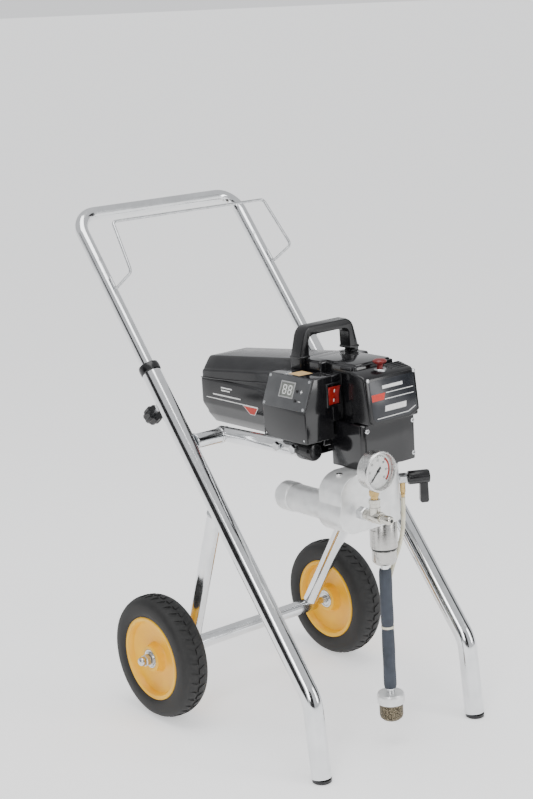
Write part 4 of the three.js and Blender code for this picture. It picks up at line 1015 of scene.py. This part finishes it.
# ---------------------------------------------------------------------------
# Carry handle: a moulded black bridge over the gear case, with softened edges and
# a thin collar at the foot of each leg.
# ---------------------------------------------------------------------------
def grip_ring(y, shrink):
    """The bridge's section at one place along the machine, drawn in by shrink at its edges."""
    half = 62.0
    s = shrink
    outer = [(-half + s, 119 + s), (-half + s, 142), (-half + 9 + s, 176), (-half + 12 + s, 182),
             (-half + 17, 187 - s), (-half + 23, 190 - s)]
    inner = [(-half + 29, 175 + s), (-half + 24 - s, 173), (-half + 20.5 - s, 168), (-52.3 + 10 - s, 140.4),
             (-52.3, 140.4), (-52.3 - s * 0.2, 119 + s)]
    left = [(x, z) for x, z in outer]
    right = [(-x, z) for x, z in reversed(outer)]
    right_inner = [(-x, z) for x, z in reversed(inner)]
    ring = left + right + right_inner + [(x, z) for x, z in inner]
    return [(x, y, z) for x, z in ring]


bridge = drawn_through([grip_ring(y, s) for y, s in ((-169, 1.6), (-168.0, 0.4), (-166, 0), (-148, 0),
                                                     (-146, 0.4), (-145, 1.6))])
settle(rounded(bridge, 0.8, 3, 40), "carry_bridge", black_plastic, "frame", ["carry_handle"])
for word, side in SIDES:
    edge = sorted((side * 41.8, side * 62.6))
    ring = rounded(clean_mesh(brick((edge[0], -170, 140.3), (edge[1], -144, 144.6))), 1.2, 3)
    settle(ring, f"carry_foot_{word}", black_plastic, "frame")

# ---------------------------------------------------------------------------
# Control box: a painted steel box hung on the left of the gear case, with two
# screws low on its side and a gland for the mains lead at the back.
# ---------------------------------------------------------------------------
BOX_FRONT, BOX_REAR = -243, -141
BOX_OUTLINE = [(-119.9, 26.1), (-62.7, 26.1), (-62.7, 124.9), (-100, 124.9), (-119.9, 75.5)]
box = rounded(clean_mesh(outlined(BOX_OUTLINE, "xz", BOX_FRONT + 0.1, BOX_REAR - 0.1)), 1.8, 4)
wing = rounded(clean_mesh(brick((-64, BOX_FRONT + 0.4, 52.6), (-41.2, -204.6, 124.6))), 1.6, 3)
settle(box, "control_box_case", black_paint, "frame", ["control_box"])
settle(wing, "control_box_wing", black_paint, "frame")
gland = hollow_turned_piece(at(-88, 0, 42), ALONG_S, [(0.0042, -0.1415), (0.0070, -0.1415),
                                                      (0.0070, -0.1320), (0.0062, -0.1302),
                                                      (0.0050, -0.1292), (0.0042, -0.1292)], 28)
settle(gland, "mains_gland", black_plastic, "frame")
for i, (y, z) in enumerate(((-237, 32), (-147, 32))):
    screw = turned_piece(at(-119.2, y, z), -ACROSS_S, [(0.0026, 0), (0.0024, 0.0005), (0.0010, 0.0008)], 20)
    settle(screw, f"box_screw_{i + 1}", zinc, "frame")
cream_ink = print_ink("cream_ink", (0.78, 0.52, 0.24))
printed([(-93, -176), (-67, -178), (-69, -206), (-95, -204)], "xy", 124.7, 125.0, "box_sticker", cream_ink)

# ---------------------------------------------------------------------------
# Control panel: a grey sloping panel with a raised frame round the two digits,
# two small black buttons and a screw at each corner.
# ---------------------------------------------------------------------------
PANEL_LEAN = math.atan2(20, 49.5)
PANEL_LENGTH = math.hypot(20, 49.5)


def on_panel(along, up, out):
    """A point of the panel: forwards along it, up its slope and out from it, in sprayer millimetres."""
    x = -120 + up * math.sin(PANEL_LEAN) - out * math.cos(PANEL_LEAN)
    z = 75.5 + up * math.cos(PANEL_LEAN) + out * math.sin(PANEL_LEAN)
    return x, -192 - along, z


PANEL_OUT = way(-math.cos(PANEL_LEAN), 0, math.sin(PANEL_LEAN))


def on_panel_plate(points, low, high, ease=0.3):
    plate = drawn_through([[on_panel(along, up, out) for along, up in points] for out in (low, high)])
    return rounded(plate, ease, 2)


def oblong(along, up, width, height):
    w, h = width / 2, height / 2
    return [(along - w, up - h), (along + w, up - h), (along + w, up + h), (along - w, up + h)]


def panel_grey():
    material, tree, shader = shaded("panel_grey", (0.085, 0.087, 0.090), 0.36, 0.3)
    grain = object_pattern(tree, "ShaderNodeTexNoise", Scale=900.0, Detail=3.0)
    raised(tree, shader, grain, 0.10, 0.0002)
    tone = object_pattern(tree, "ShaderNodeTexNoise", Scale=40.0, Detail=4.0)
    tree.links.new(tinted(tree, tone, (0.075, 0.077, 0.080), (0.10, 0.102, 0.105)),
                   shader.inputs["Base Color"])
    return material


def lcd_glass():
    material, tree, shader = shaded("lcd_glass", (0.17, 0.18, 0.16), 0.16)
    haze = object_pattern(tree, "ShaderNodeTexNoise", Scale=200.0, Detail=2.0)
    tree.links.new(tinted(tree, haze, (0.15, 0.16, 0.145), (0.20, 0.21, 0.19)), shader.inputs["Base Color"])
    tree.links.new(spread(tree, haze, 0.10, 0.2), shader.inputs["Roughness"])
    return material


grey_panel = panel_grey()
lcd = lcd_glass()
PANEL_HALF = 50.0
panel = on_panel_plate([(-PANEL_HALF, 1.2), (PANEL_HALF, 1.2), (PANEL_HALF, PANEL_LENGTH - 1.2),
                        (-PANEL_HALF, PANEL_LENGTH - 1.2)], 0.3, 2.25, 0.5)
cut_away(panel, on_panel_plate(oblong(0, 31, 34.4, 26.4), -1, 4, 0.2))
settle(panel, "control_panel_plate", grey_panel, "frame", ["control_panel"])
bezel = on_panel_plate(oblong(0, 31, 34, 26), -2, 2.85, 0.5)
cut_away(bezel, on_panel_plate(oblong(0, 31, 29.5, 21.5), 1.6, 4, 0.2))
settle(bezel, "display_bezel", print_ink("bezel_grey", (0.34, 0.34, 0.34)), "frame",
       ["display"])
settle(on_panel_plate(oblong(0, 31, 29.4, 21.4), 1.3, 1.8, 0.1), "display_glass", lcd, "frame")


def digit(centre, name):
    """Both rows of segments of one digit eight, standing on the display."""
    bars = [(0, 6.6, 6, 1.5), (0, 0, 6, 1.5), (0, -6.6, 6, 1.5)]
    bars += [(side * 3.5, row * 3.3, 1.5, 5.2) for side in (-1, 1) for row in (-1, 1)]
    for i, (along, up, width, height) in enumerate(bars):
        settle(on_panel_plate(oblong(centre + along, 31 + up, width, height), 1.75, 1.95, 0.05),
               f"{name}_bar_{i + 1}", white_ink, "frame")


digit(-6.2, "tens")
digit(6.2, "units")
for word, along, up in (("plus", 24, 31), ("minus", 24, 16)):
    start = at(*on_panel(along, up, 0))
    key = turned_piece(start, PANEL_OUT, [(0.0025, -0.0038), (0.0026, 0.0032), (0.0021, 0.0039),
                                          (0.0010, 0.0042)], 24)
    settle(key, f"key_{word}", black_plastic, f"{word}_button", [f"button_{word}"])
    settle(on_panel_plate(oblong(along + 9.5, up, 5.5, 1.2), 2.2, 2.35, 0.05), f"key_mark_{word}",
           white_ink, "frame")
    if word == "plus":
        settle(on_panel_plate(oblong(along + 9.5, up, 1.2, 5.5), 2.2, 2.36, 0.05), "key_mark_cross",
               white_ink, "frame")
for i, (along, up) in enumerate(((-46, 5), (46, 5), (46, 48.5), (-46, 48.5))):
    screw = turned_piece(at(*on_panel(along, up, 2.2)), PANEL_OUT,
                         [(0.0025, 0), (0.0023, 0.0006), (0.0010, 0.0009)], 20)
    settle(screw, f"panel_screw_{i + 1}", zinc, "frame")

# ---------------------------------------------------------------------------
# Power switch: a black frame in the front of the control box, with a glossy red
# rocker and a white bar on each of its halves.
# ---------------------------------------------------------------------------
frame_ring = rounded(clean_mesh(brick((-76.9, -245.9, 76.1), (-47.1, -221.2, 113.9))), 1.2, 3)
cut_away(frame_ring, rounded(clean_mesh(brick((-74.0, -252, 79.0), (-50.0, -231, 111.0))), 0.6, 2))
settle(frame_ring, "switch_frame", black_plastic, "frame", ["switch_body"])


def rocker_red():
    material, tree, shader = shaded("rocker_red", (0.30, 0.012, 0.010), 0.12)
    depth = object_pattern(tree, "ShaderNodeTexNoise", Scale=160.0, Detail=3.0)
    tree.links.new(tinted(tree, depth, (0.22, 0.009, 0.008), (0.38, 0.018, 0.014)),
                   shader.inputs["Base Color"])
    tree.links.new(spread(tree, depth, 0.1, 0.2), shader.inputs["Roughness"])
    shader.inputs["Coat Weight"].default_value = 0.5
    return material


def rocked(y, z):
    """A point drawn level about the rocker's pivot, tipped to the end of its swing."""
    turn = math.radians(9)
    return -239 + y * math.cos(turn) - z * math.sin(turn), 95 + y * math.sin(turn) + z * math.cos(turn)


rocker_outline = [rocked(*p) for p in ((3.5, -6.8), (3.5, 6.8), (-4.9, 14.4), (-6.9, 14.4), (-5.9, 7),
                                       (-5.5, 0), (-5.9, -7), (-6.9, -14.4), (-4.9, -14.4))]
rocker = rounded(clean_mesh(outlined(rocker_outline, "yz", -73.4, -50.6)), 0.5, 3)
settle(rocker, "rocker_lens", rocker_red(), "power_rocker", ["switch_rocker"])
for i, (low, high) in enumerate(((5.4, 10.2), (-10.2, -5.4))):
    bar_outline = [rocked(*p) for p in ((-6.0, low), (-6.4, low), (-6.65, high), (-6.2, high))]
    bar = clean_mesh(outlined(bar_outline, "yz", -62.8, -61.2))
    settle(bar, f"rocker_mark_{i + 1}", white_ink, "power_rocker", sharp=20)

# ---------------------------------------------------------------------------
# Pump block: a machined aluminium block with a round lobe for the filter and an
# upright nose round the piston rod. A plug screw closes its shoulder.
# ---------------------------------------------------------------------------
PUMP_Y = -275
LOBE_X, LOBE_Z = -79, -80.3


def cast_satin():
    material, tree, shader = shaded("cast_satin", (0.80, 0.805, 0.80), 0.34, 0.6)
    cloud = object_pattern(tree, "ShaderNodeTexNoise", Scale=70.0, Detail=6.0)
    tree.links.new(tinted(tree, cloud, (0.74, 0.745, 0.74), (0.86, 0.865, 0.86)), shader.inputs["Base Color"])
    tree.links.new(spread(tree, cloud, 0.28, 0.48), shader.inputs["Roughness"])
    grit = object_pattern(tree, "ShaderNodeTexNoise", Scale=1300.0, Detail=2.0)
    raised(tree, shader, grit, 0.05, 0.0002)
    return material


satin = cast_satin()
lobe = [(LOBE_X + 32 * math.cos(a), LOBE_Z + 32 * math.sin(a)) for a in
        (math.radians(-90 - k * 7.5) for k in range(17))]
block_outline = [(0, -112.2), *lobe, (-107, -46), (-104, -38.5), (-100, -33), (-94, -27.6), (-86, -23.4),
                 (-74, -20.4), (0, -20.4)]
block = rounded(clean_mesh(outlined(block_outline, "xz", -300.9, -249.1)), 1.3, 4, 24)
settle(block, "pump_block_body", satin, "frame", ["pump_block"])
nose = turned_piece(at(0, PUMP_Y, 0), UP_S, [(0.0268, -0.1122), (0.0280, -0.1110), (0.0280, -0.0216),
                                             (0.0268, -0.0204)], 64)
settle(nose, "pump_block_nose", satin, "frame")
plug_seat = turned_piece(at(-84, PUMP_Y + 2, 0), UP_S, [(0.0052, -0.030), (0.0052, -0.0212),
                                                        (0.0046, -0.0205)], 28)
cut_away(plug_seat, turned_piece(at(-84, PUMP_Y + 2, 0), UP_S, [(0.0027, -0.0235), (0.0027, -0.018)], 6))
settle(plug_seat, "pump_plug_screw", steel, "frame")

# ---------------------------------------------------------------------------
# Filter: a round aluminium bowl that screws into the back of the block, with a
# knurled cap on its far end.
# ---------------------------------------------------------------------------
FILTER = at(LOBE_X, 0, LOBE_Z)
bowl = turned_piece(FILTER, ALONG_S, [(0.0214, -0.2486), (0.0225, -0.2476), (0.0225, -0.1650),
                                      (0.0219, -0.1640), (0.0219, -0.1622), (0.0225, -0.1617)], 72)
settle(bowl, "filter_bowl_body", satin, "frame", ["filter_bowl"])


def knurled_cap(place, direction, radius, start, end, ridges):
    """A cap whose rim is cut into small ridges between two smooth bands."""
    rows = [(radius - 0.0012, start, 0), (radius - 0.0004, start + 0.0010, 0),
            (radius - 0.0004, start + 0.0022, 0), (radius, start + 0.0030, 1), (radius, end - 0.0110, 1),
            (radius - 0.0004, end - 0.0102, 0), (radius - 0.0006, end - 0.0080, 0),
            (radius - 0.0060, end, 0)]
    sides = ridges * 2
    cap = turned_piece(place, direction, [(r, along) for r, along, _ in rows], sides)
    turn = direction.to_track_quat("Z", "Y").to_matrix()
    for vertex in cap.data.vertices:
        local = turn.inverted() @ (vertex.co - place)
        spoke = round(math.atan2(local.y, local.x) / (2 * math.pi / sides))
        row = min(rows, key=lambda r: abs(r[1] - local.z))
        if row[2] and spoke % 2:
            local.x, local.y = local.x * (1 - 0.0011 / radius), local.y * (1 - 0.0011 / radius)
            vertex.co = place + turn @ local
    return cap


cap = knurled_cap(FILTER, ALONG_S, 0.0239, -0.1616, -0.1288, 60)
settle(cap, "filter_cap", satin, "frame", sharp=20)

# ---------------------------------------------------------------------------
# Fluid cylinder: a turned steel cylinder under the block in two steps, with two
# wrench flats and a black ring at the joint.
# ---------------------------------------------------------------------------
PUMP = at(0, PUMP_Y, 0)


def brushed_steel():
    material, tree, shader = shaded("brushed_steel", (0.52, 0.51, 0.49), 0.24, 1.0)
    lines = object_pattern(tree, "ShaderNodeTexNoise", (60, 60, 1600), Scale=1.0, Detail=4.0)
    tree.links.new(spread(tree, lines, 0.16, 0.36), shader.inputs["Roughness"])
    raised(tree, shader, lines, 0.04, 0.0001)
    tree.links.new(tinted(tree, lines, (0.44, 0.43, 0.41), (0.60, 0.59, 0.57)), shader.inputs["Base Color"])
    return material


brushed = brushed_steel()


def piston_bore():
    """The cutter for the bore that the piston rod runs in."""
    return turned_piece(PUMP, UP_S, [(0.0140, -0.1735), (0.0140, -0.1090)], 48)


cylinder = turned_piece(PUMP, UP_S, [(0.0208, -0.1585), (0.0220, -0.1575), (0.0220, -0.1145),
                                     (0.0212, -0.1130)], 72)
for side in (-1, 1):
    flat = brick(*sorted(((side * 20.4, PUMP_Y - 30, -128), (side * 40, PUMP_Y + 30, -116))))
    cut_away(cylinder, clean_mesh(flat))
cut_away(cylinder, piston_bore())
settle(cylinder, "fluid_cylinder_upper", brushed, "frame", ["fluid_cylinder"])
lower = turned_piece(PUMP, UP_S, [(0.0148, -0.1854), (0.0188, -0.1816), (0.0195, -0.1802), (0.0195, -0.1625),
                                  (0.0188, -0.1614), (0.0188, -0.1590)], 72)
cut_away(lower, piston_bore())
settle(lower, "fluid_cylinder_lower", brushed, "frame")
joint_ring = turned_piece(PUMP, UP_S, [(0.0198, -0.1611), (0.0206, -0.1604), (0.0206, -0.1590),
                                       (0.0198, -0.1583)], 72)
cut_away(joint_ring, piston_bore())
settle(joint_ring, "cylinder_joint_ring", black_plastic, "frame")

# ---------------------------------------------------------------------------
# Suction set: a thin chromed tube with a foam sleeve, a cable tie round it, a
# screwed cap and the woven strainer.
# ---------------------------------------------------------------------------
tube = turned_piece(PUMP, UP_S, [(0.0066, -0.4078), (0.0070, -0.4072), (0.0070, -0.1866),
                                 (0.0066, -0.1860)], 40)
settle(tube, "suction_tube_body", chrome, "frame", ["suction_tube"])


def sleeve_foam():
    material, tree, shader = shaded("sleeve_foam", (0.035, 0.043, 0.058), 0.62)
    cells = object_pattern(tree, "ShaderNodeTexVoronoi", Scale=900.0)
    raised(tree, shader, cells, 0.25, 0.0004, "Distance")
    tone = object_pattern(tree, "ShaderNodeTexNoise", Scale=40.0, Detail=5.0)
    tree.links.new(tinted(tree, tone, (0.026, 0.033, 0.046), (0.050, 0.060, 0.080)),
                   shader.inputs["Base Color"])
    return material


foam_rings = []
for i in range(41):
    share = i / 40
    pinch = 0.0012 * math.exp(-((-0.394 + 0.2 * share + 0.2915) / 0.0035) ** 2)
    wave = 0.00022 * math.sin(share * 23) - 0.0003
    ends = 0.0009 if i in (0, 40) else 0
    foam_rings.append((0.0105 + wave - pinch - ends, -0.3945 + 0.2 * share))
sleeve = turned_piece(PUMP, UP_S, foam_rings, 48)
settle(sleeve, "foam_sleeve_body", sleeve_foam(), "frame", ["foam_sleeve"])


def cream_plastic():
    material, tree, shader = shaded("cream_hose", (0.72, 0.68, 0.52), 0.3)
    tone = object_pattern(tree, "ShaderNodeTexNoise", Scale=60.0, Detail=3.0)
    tree.links.new(tinted(tree, tone, (0.66, 0.62, 0.46), (0.80, 0.77, 0.62)), shader.inputs["Base Color"])
    tree.links.new(spread(tree, tone, 0.22, 0.38), shader.inputs["Roughness"])
    shader.inputs["Subsurface Weight"].default_value = 0.15
    shader.inputs["Subsurface Radius"].default_value = (0.004, 0.003, 0.002)
    return material


cream = cream_plastic()
tie = turned_piece(PUMP, UP_S, [(0.0094, -0.2935), (0.0104, -0.2932), (0.0104, -0.2898),
                                (0.0094, -0.2895)], 48)
settle(tie, "sleeve_tie", cream, "frame")
cap_profile = [(0.0190, -0.4198), (0.0216, -0.4198), (0.0222, -0.4186), (0.0225, -0.4080), (0.0222, -0.4056),
               (0.0205, -0.4030), (0.0150, -0.4022), (0.0080, -0.4021)]
strainer_top = turned_piece(PUMP, UP_S, cap_profile, 64)
settle(strainer_top, "strainer_cap_body", satin, "frame", ["strainer_cap"])


def woven_brass():
    material, tree, shader = shaded("woven_brass", (0.36, 0.30, 0.20), 0.42, 0.85)
    weave = object_pattern(tree, "ShaderNodeTexVoronoi", Scale=620.0)
    raised(tree, shader, weave, 0.9, 0.0008, "Distance")
    # The ramp runs from the brass colour of the wires to near black between them: the dark gaps are painted
    # shade of the strainer's inside, over a solid basket.
    tree.links.new(tinted(tree, weave, (0.52, 0.44, 0.30), (0.06, 0.05, 0.035), 0.05, 0.6, "Distance"),
                   shader.inputs["Base Color"])
    return material


weave = woven_brass()
basket = turned_piece(PUMP, UP_S, [(0.0001, -0.4478), (0.0140, -0.4478), (0.0180, -0.4440), (0.0191, -0.4390),
                                   (0.0191, -0.4200)], 96)
settle(basket, "strainer_basket", weave, "frame", ["strainer_mesh"])


def strainer_wires():
    """Wires round and up the strainer, standing a little out of its skin."""
    for i in range(14):
        z = -0.4220 - i * 0.0014
        hoop = turned_piece(PUMP, UP_S, [(0.01905, z - 0.0003), (0.0192, z), (0.01905, z + 0.0003)], 72)
        settle(hoop, f"strainer_hoop_{i + 1}", weave, "frame")


strainer_wires()

# ---------------------------------------------------------------------------
# Outlet: a plated swivel nut and tee in front of the filter, with a brass stem
# under the gauge and a nipple for the spray hose.
# ---------------------------------------------------------------------------
def plated():
    material, tree, shader = shaded("nickel_plate", (0.62, 0.60, 0.55), 0.22, 1.0)
    tone = object_pattern(tree, "ShaderNodeTexNoise", Scale=120.0, Detail=5.0)
    tree.links.new(spread(tree, tone, 0.14, 0.34), shader.inputs["Roughness"])
    tree.links.new(tinted(tree, tone, (0.54, 0.52, 0.47), (0.70, 0.68, 0.62)), shader.inputs["Base Color"])
    return material


def bright_brass():
    material, tree, shader = shaded("bright_brass", (0.58, 0.40, 0.16), 0.26, 1.0)
    tone = object_pattern(tree, "ShaderNodeTexNoise", Scale=150.0, Detail=4.0)
    tree.links.new(tinted(tree, tone, (0.48, 0.32, 0.12), (0.66, 0.47, 0.20)), shader.inputs["Base Color"])
    tree.links.new(spread(tree, tone, 0.18, 0.36), shader.inputs["Roughness"])
    return material


nickel = plated()
brass = bright_brass()
TEE = at(LOBE_X, -345, -76.3)
FORWARD = -ALONG_S
hexagon(TEE + ALONG_S * 0.0340, FORWARD, 0.0188, 0.0140, "outlet_nut", zinc, "frame")
run = turned_piece(TEE, FORWARD, [(0.0078, -0.0200), (0.0080, -0.0190), (0.0080, -0.0128), (0.0066, -0.0125),
                                  (0.0066, -0.0115), (0.0090, -0.0112), (0.0094, -0.0102), (0.0094, 0.0130),
                                  (0.0088, 0.0142), (0.0062, 0.0145), (0.0062, 0.0165), (0.0070, 0.0170),
                                  (0.0070, 0.0200), (0.0060, 0.0210), (0.0060, 0.0230), (0.0070, 0.0238),
                                  (0.0070, 0.0320), (0.0062, 0.0345), (0.0048, 0.0358)], 48)
settle(run, "outlet_run", nickel, "frame", ["outlet_tee"])
# A thin black disc on the closed tip of the nipple stands for the bore hole: it is painted shade of the
# hole's dark inside, not an opening.
bore = turned_piece(TEE, FORWARD, [(0.0030, 0.0350), (0.0030, 0.03595)], 24)
settle(bore, "outlet_bore", black_plastic, "frame")
branch = turned_piece(TEE, UP_S, [(0.0086, 0.0), (0.0086, 0.0150), (0.0080, 0.0158), (0.0080, 0.0210),
                                  (0.0089, 0.0216), (0.0089, 0.0270), (0.0082, 0.0279)], 48)
settle(branch, "gauge_branch", nickel, "frame")
stem = turned_piece(TEE, UP_S, [(0.0058, 0.0270), (0.0058, 0.0322), (0.0070, 0.0326), (0.0070, 0.0440)], 32)
settle(stem, "gauge_stem", brass, "frame")
hexagon(TEE + UP_S * 0.0330, UP_S, 0.0136, 0.0090, "gauge_stem_nut", brass, "frame")

# ---------------------------------------------------------------------------
# Pressure gauge: a steel case with a rolled bezel, a printed dial behind glass
# and a black needle that turns on its pin.
# ---------------------------------------------------------------------------
GAUGE_Z = -3.3
GAUGE = at(LOBE_X, 0, GAUGE_Z)
gauge_shell = turned_piece(GAUGE, FORWARD, [(0.0268, 0.3391), (0.0290, 0.3410), (0.0290, 0.3560),
                                            (0.0305, 0.3572), (0.0314, 0.3582), (0.0315, 0.3592),
                                            (0.0315, 0.3618), (0.0309, 0.3634), (0.0296, 0.3639)], 80)
well = turned_piece(GAUGE, FORWARD, [(0.0268, 0.3548), (0.0268, 0.3600), (0.0280, 0.3625),
                                     (0.0284, 0.3660)], 80)
cut_away(gauge_shell, well)
settle(gauge_shell, "gauge_shell", steel, "frame", ["gauge_case"])


def dial_point(radius, angle, depth):
    """A point on the dial: an angle from straight up, clockwise as it is read."""
    return LOBE_X + radius * math.sin(angle), depth, GAUGE_Z + radius * math.cos(angle)


def dial_arc(inner, outer, start, end, depths, name, material, steps=24):
    angles = [math.radians(start + (end - start) * k / steps) for k in range(steps + 1)]
    ring = [(inner, a) for a in angles] + [(outer, a) for a in reversed(angles)]
    mark = drawn_through([[dial_point(r, a, depth) for r, a in ring] for depth in depths])
    return settle(mark, name, material, "frame", sharp=20)


dial_paper = print_ink("dial_paper", (0.93, 0.93, 0.91), 0.5)
dial_black = print_ink("dial_black", (0.02, 0.02, 0.02), 0.5)
face = turned_piece(GAUGE, FORWARD, [(0.0267, 0.3546), (0.0267, 0.3553)], 64)
settle(face, "gauge_dial", dial_paper, "frame")
DIAL_DEPTHS = (-355.2, -355.5)
DIAL_START, DIAL_END = -135, 135
dial_arc(21.0, 23.4, 40, 135, DIAL_DEPTHS, "dial_red_arc", red_ink, 30)
dial_arc(23.6, 24.0, DIAL_START, DIAL_END, DIAL_DEPTHS, "dial_rim_line", dial_black, 60)
for i in range(31):
    angle = DIAL_START + i * 9
    length, wide = (4.0, 1.1) if i % 5 == 0 else (2.2, 0.55)
    dial_arc(23.8 - length, 23.8, angle - wide, angle + wide, (-355.3, -355.6), f"dial_tick_{i + 1}",
             dial_black, 2)


def dial_number(text, angle, radius, size):
    """A printed number on the dial, turned into a thin plate."""
    words = bpy.data.curves.new(f"dial_number_{text}", "FONT")
    words.body = text
    words.size = size
    words.align_x = "CENTER"
    words.align_y = "CENTER"
    words.extrude = 0.0001
    words.resolution_u = 3
    number = bpy.data.objects.new(words.name, words)
    bpy.context.scene.collection.objects.link(number)
    centre = at(*dial_point(radius, math.radians(angle), -355.55))
    facing = Matrix((ACROSS_S, UP_S, -ALONG_S)).transposed().to_4x4()
    number.matrix_world = Matrix.Translation(centre) @ facing
    only_this(number)
    bpy.ops.object.convert(target="MESH")
    return settle(bpy.context.object, f"dial_number_{text}", dial_black, "frame", sharp=20)


for i, text in enumerate(("0", "5", "10", "15", "20", "25", "30")):
    dial_number(text, DIAL_START + i * 45, 16.2, 0.0046)
needle_outline = [(-7, -1.4), (-3, -1.2), (19, -0.5), (21, 0), (19, 0.5), (-3, 1.2), (-7, 1.4)]
needle_turn = math.radians(225)
pointed = [(LOBE_X + a * math.cos(needle_turn) - b * math.sin(needle_turn),
            GAUGE_Z + a * math.sin(needle_turn) + b * math.cos(needle_turn)) for a, b in needle_outline]
pointer = clean_mesh(outlined(pointed, "xz", -356.95, -356.1))
settle(pointer, "needle_pointer", dial_black, "needle", ["gauge_needle"], sharp=20)
pin = turned_piece(GAUGE, FORWARD, [(0.0021, 0.3556), (0.0021, 0.3573), (0.0012, 0.3575)], 24)
settle(pin, "needle_pin", dial_black, "needle")


def lens_glass():
    material, tree, shader = shaded("lens_glass", (1.0, 1.0, 1.0), 0.02)
    shader.inputs["Transmission Weight"].default_value = 1.0
    shader.inputs["IOR"].default_value = 1.05
    smear = object_pattern(tree, "ShaderNodeTexNoise", Scale=50.0, Detail=3.0)
    tree.links.new(spread(tree, smear, 0.0, 0.03), shader.inputs["Roughness"])
    return material


lens = turned_piece(GAUGE, FORWARD, [(0.0270, 0.3604), (0.0274, 0.3612)], 64)
settle(lens, "gauge_lens", lens_glass(), "frame")

# ---------------------------------------------------------------------------
# Prime valve: a plated nut and spindle facing a little forward, a barb for the
# drain hose, and a black lever knob.
# ---------------------------------------------------------------------------
VALVE_TURN = math.radians(30)
VALVE_WAY = way(math.cos(VALVE_TURN), -math.sin(VALVE_TURN), 0)
VALVE_SIDE = way(math.sin(VALVE_TURN), math.cos(VALVE_TURN), 0)
VALVE = at(0, PUMP_Y, -50)
hexagon(VALVE + VALVE_WAY * 0.0270, VALVE_WAY, 0.0154, 0.0140, "valve_nut", zinc, "frame")
spindle = turned_piece(VALVE, VALVE_WAY, [(0.0075, 0.0265), (0.0085, 0.0275), (0.0085, 0.0290),
                                          (0.0040, 0.0295), (0.0040, 0.0612), (0.0034, 0.0618)], 32)
settle(spindle, "valve_spindle", zinc, "frame", ["prime_valve"])
barb_top = VALVE + VALVE_WAY * 0.034
barb = turned_piece(barb_top, -UP_S, [(0.0044, 0.0040), (0.0044, 0.0215), (0.0036, 0.0225), (0.0036, 0.0240),
                                      (0.0041, 0.0250), (0.0030, 0.0275), (0.0030, 0.0298)], 32)
settle(barb, "valve_barb", brass, "frame")
hub = fluted_knob(VALVE + VALVE_WAY * 0.0422, VALVE_WAY, 0.0109, 0.0356, 12, 0.0011)
settle(hub, "prime_knob_hub", black_plastic, "prime_lever", ["prime_handle"])


def lever_section(down, half_wide, near, far):
    """A four-cornered section of the lever at one distance down from its hub."""
    corners = ((near, -half_wide), (far, -half_wide), (far, half_wide), (near, half_wide))
    return [VALVE + VALVE_WAY * (a * MM) + VALVE_SIDE * (b * MM) - UP_S * (down * MM) for a, b in corners]


def lever_bar():
    """The lever's wing: narrow under the hub and broader at its rounded tip."""
    sections = [lever_section(*row) for row in ((0, 5.4, 61.3, 74.7), (12, 5.0, 61.6, 74.4),
                                                (26, 5.6, 61.3, 74.7), (38, 5.9, 61.1, 74.9),
                                                (41.8, 4.6, 62.4, 73.6))]
    inverse = SPRAYER.inverted()
    return drawn_through([[tuple((inverse @ p) / MM) for p in section] for section in sections])


lever = rounded(lever_bar(), 1.6, 4)
settle(lever, "prime_lever_wing", black_plastic, "prime_lever")

# ---------------------------------------------------------------------------
# Drain hose: a cream plastic hose pushed over the barb, running down behind the
# cylinder, through the tie and along the sleeve.
# ---------------------------------------------------------------------------
HOSE_LINE = [(29.4, -292, -80.6), (29.5, -291.6, -100), (31, -289, -122), (32.5, -283, -145),
             (31.5, -275, -168), (27.5, -267, -192), (22, -261.5, -216), (17, -259, -240),
             (13.5, -258.5, -265), (12.5, -259, -290), (12.3, -259, -330), (12.3, -259, -372)]
smooth_lead(HOSE_LINE, 0.0035, "drain_hose_body", cream, "frame", ["drain_hose"])

# ---------------------------------------------------------------------------
# Pieces inside the machine keep their own shape and take a finish that suits them.
# ---------------------------------------------------------------------------
def board_green():
    material, tree, shader = shaded("board_green", (0.02, 0.16, 0.06), 0.4)
    tracks = object_pattern(tree, "ShaderNodeTexVoronoi", Scale=240.0)
    tree.links.new(tinted(tree, tracks, (0.012, 0.10, 0.04), (0.04, 0.24, 0.10), output="Distance"),
                   shader.inputs["Base Color"])
    return material


def wound_copper():
    material, tree, shader = shaded("wound_copper", (0.45, 0.20, 0.10), 0.4, 0.9)
    turns = object_pattern(tree, "ShaderNodeTexWave", Scale=300.0, Distortion=1.0)
    tree.links.new(tinted(tree, turns, (0.32, 0.13, 0.06), (0.56, 0.28, 0.15)), shader.inputs["Base Color"])
    return material


INSIDE = {"motor_frame": steel, "rotor": wound_copper(), "gear_cluster": brushed, "crank": brushed,
          "drive_yoke": brushed, "piston_rod": steel, "circuit_board": board_green(),
          "filter_element": weave}
for name, material in INSIDE.items():
    node = bpy.data.objects[name]
    node.data.materials.clear()
    node.data.materials.append(material)
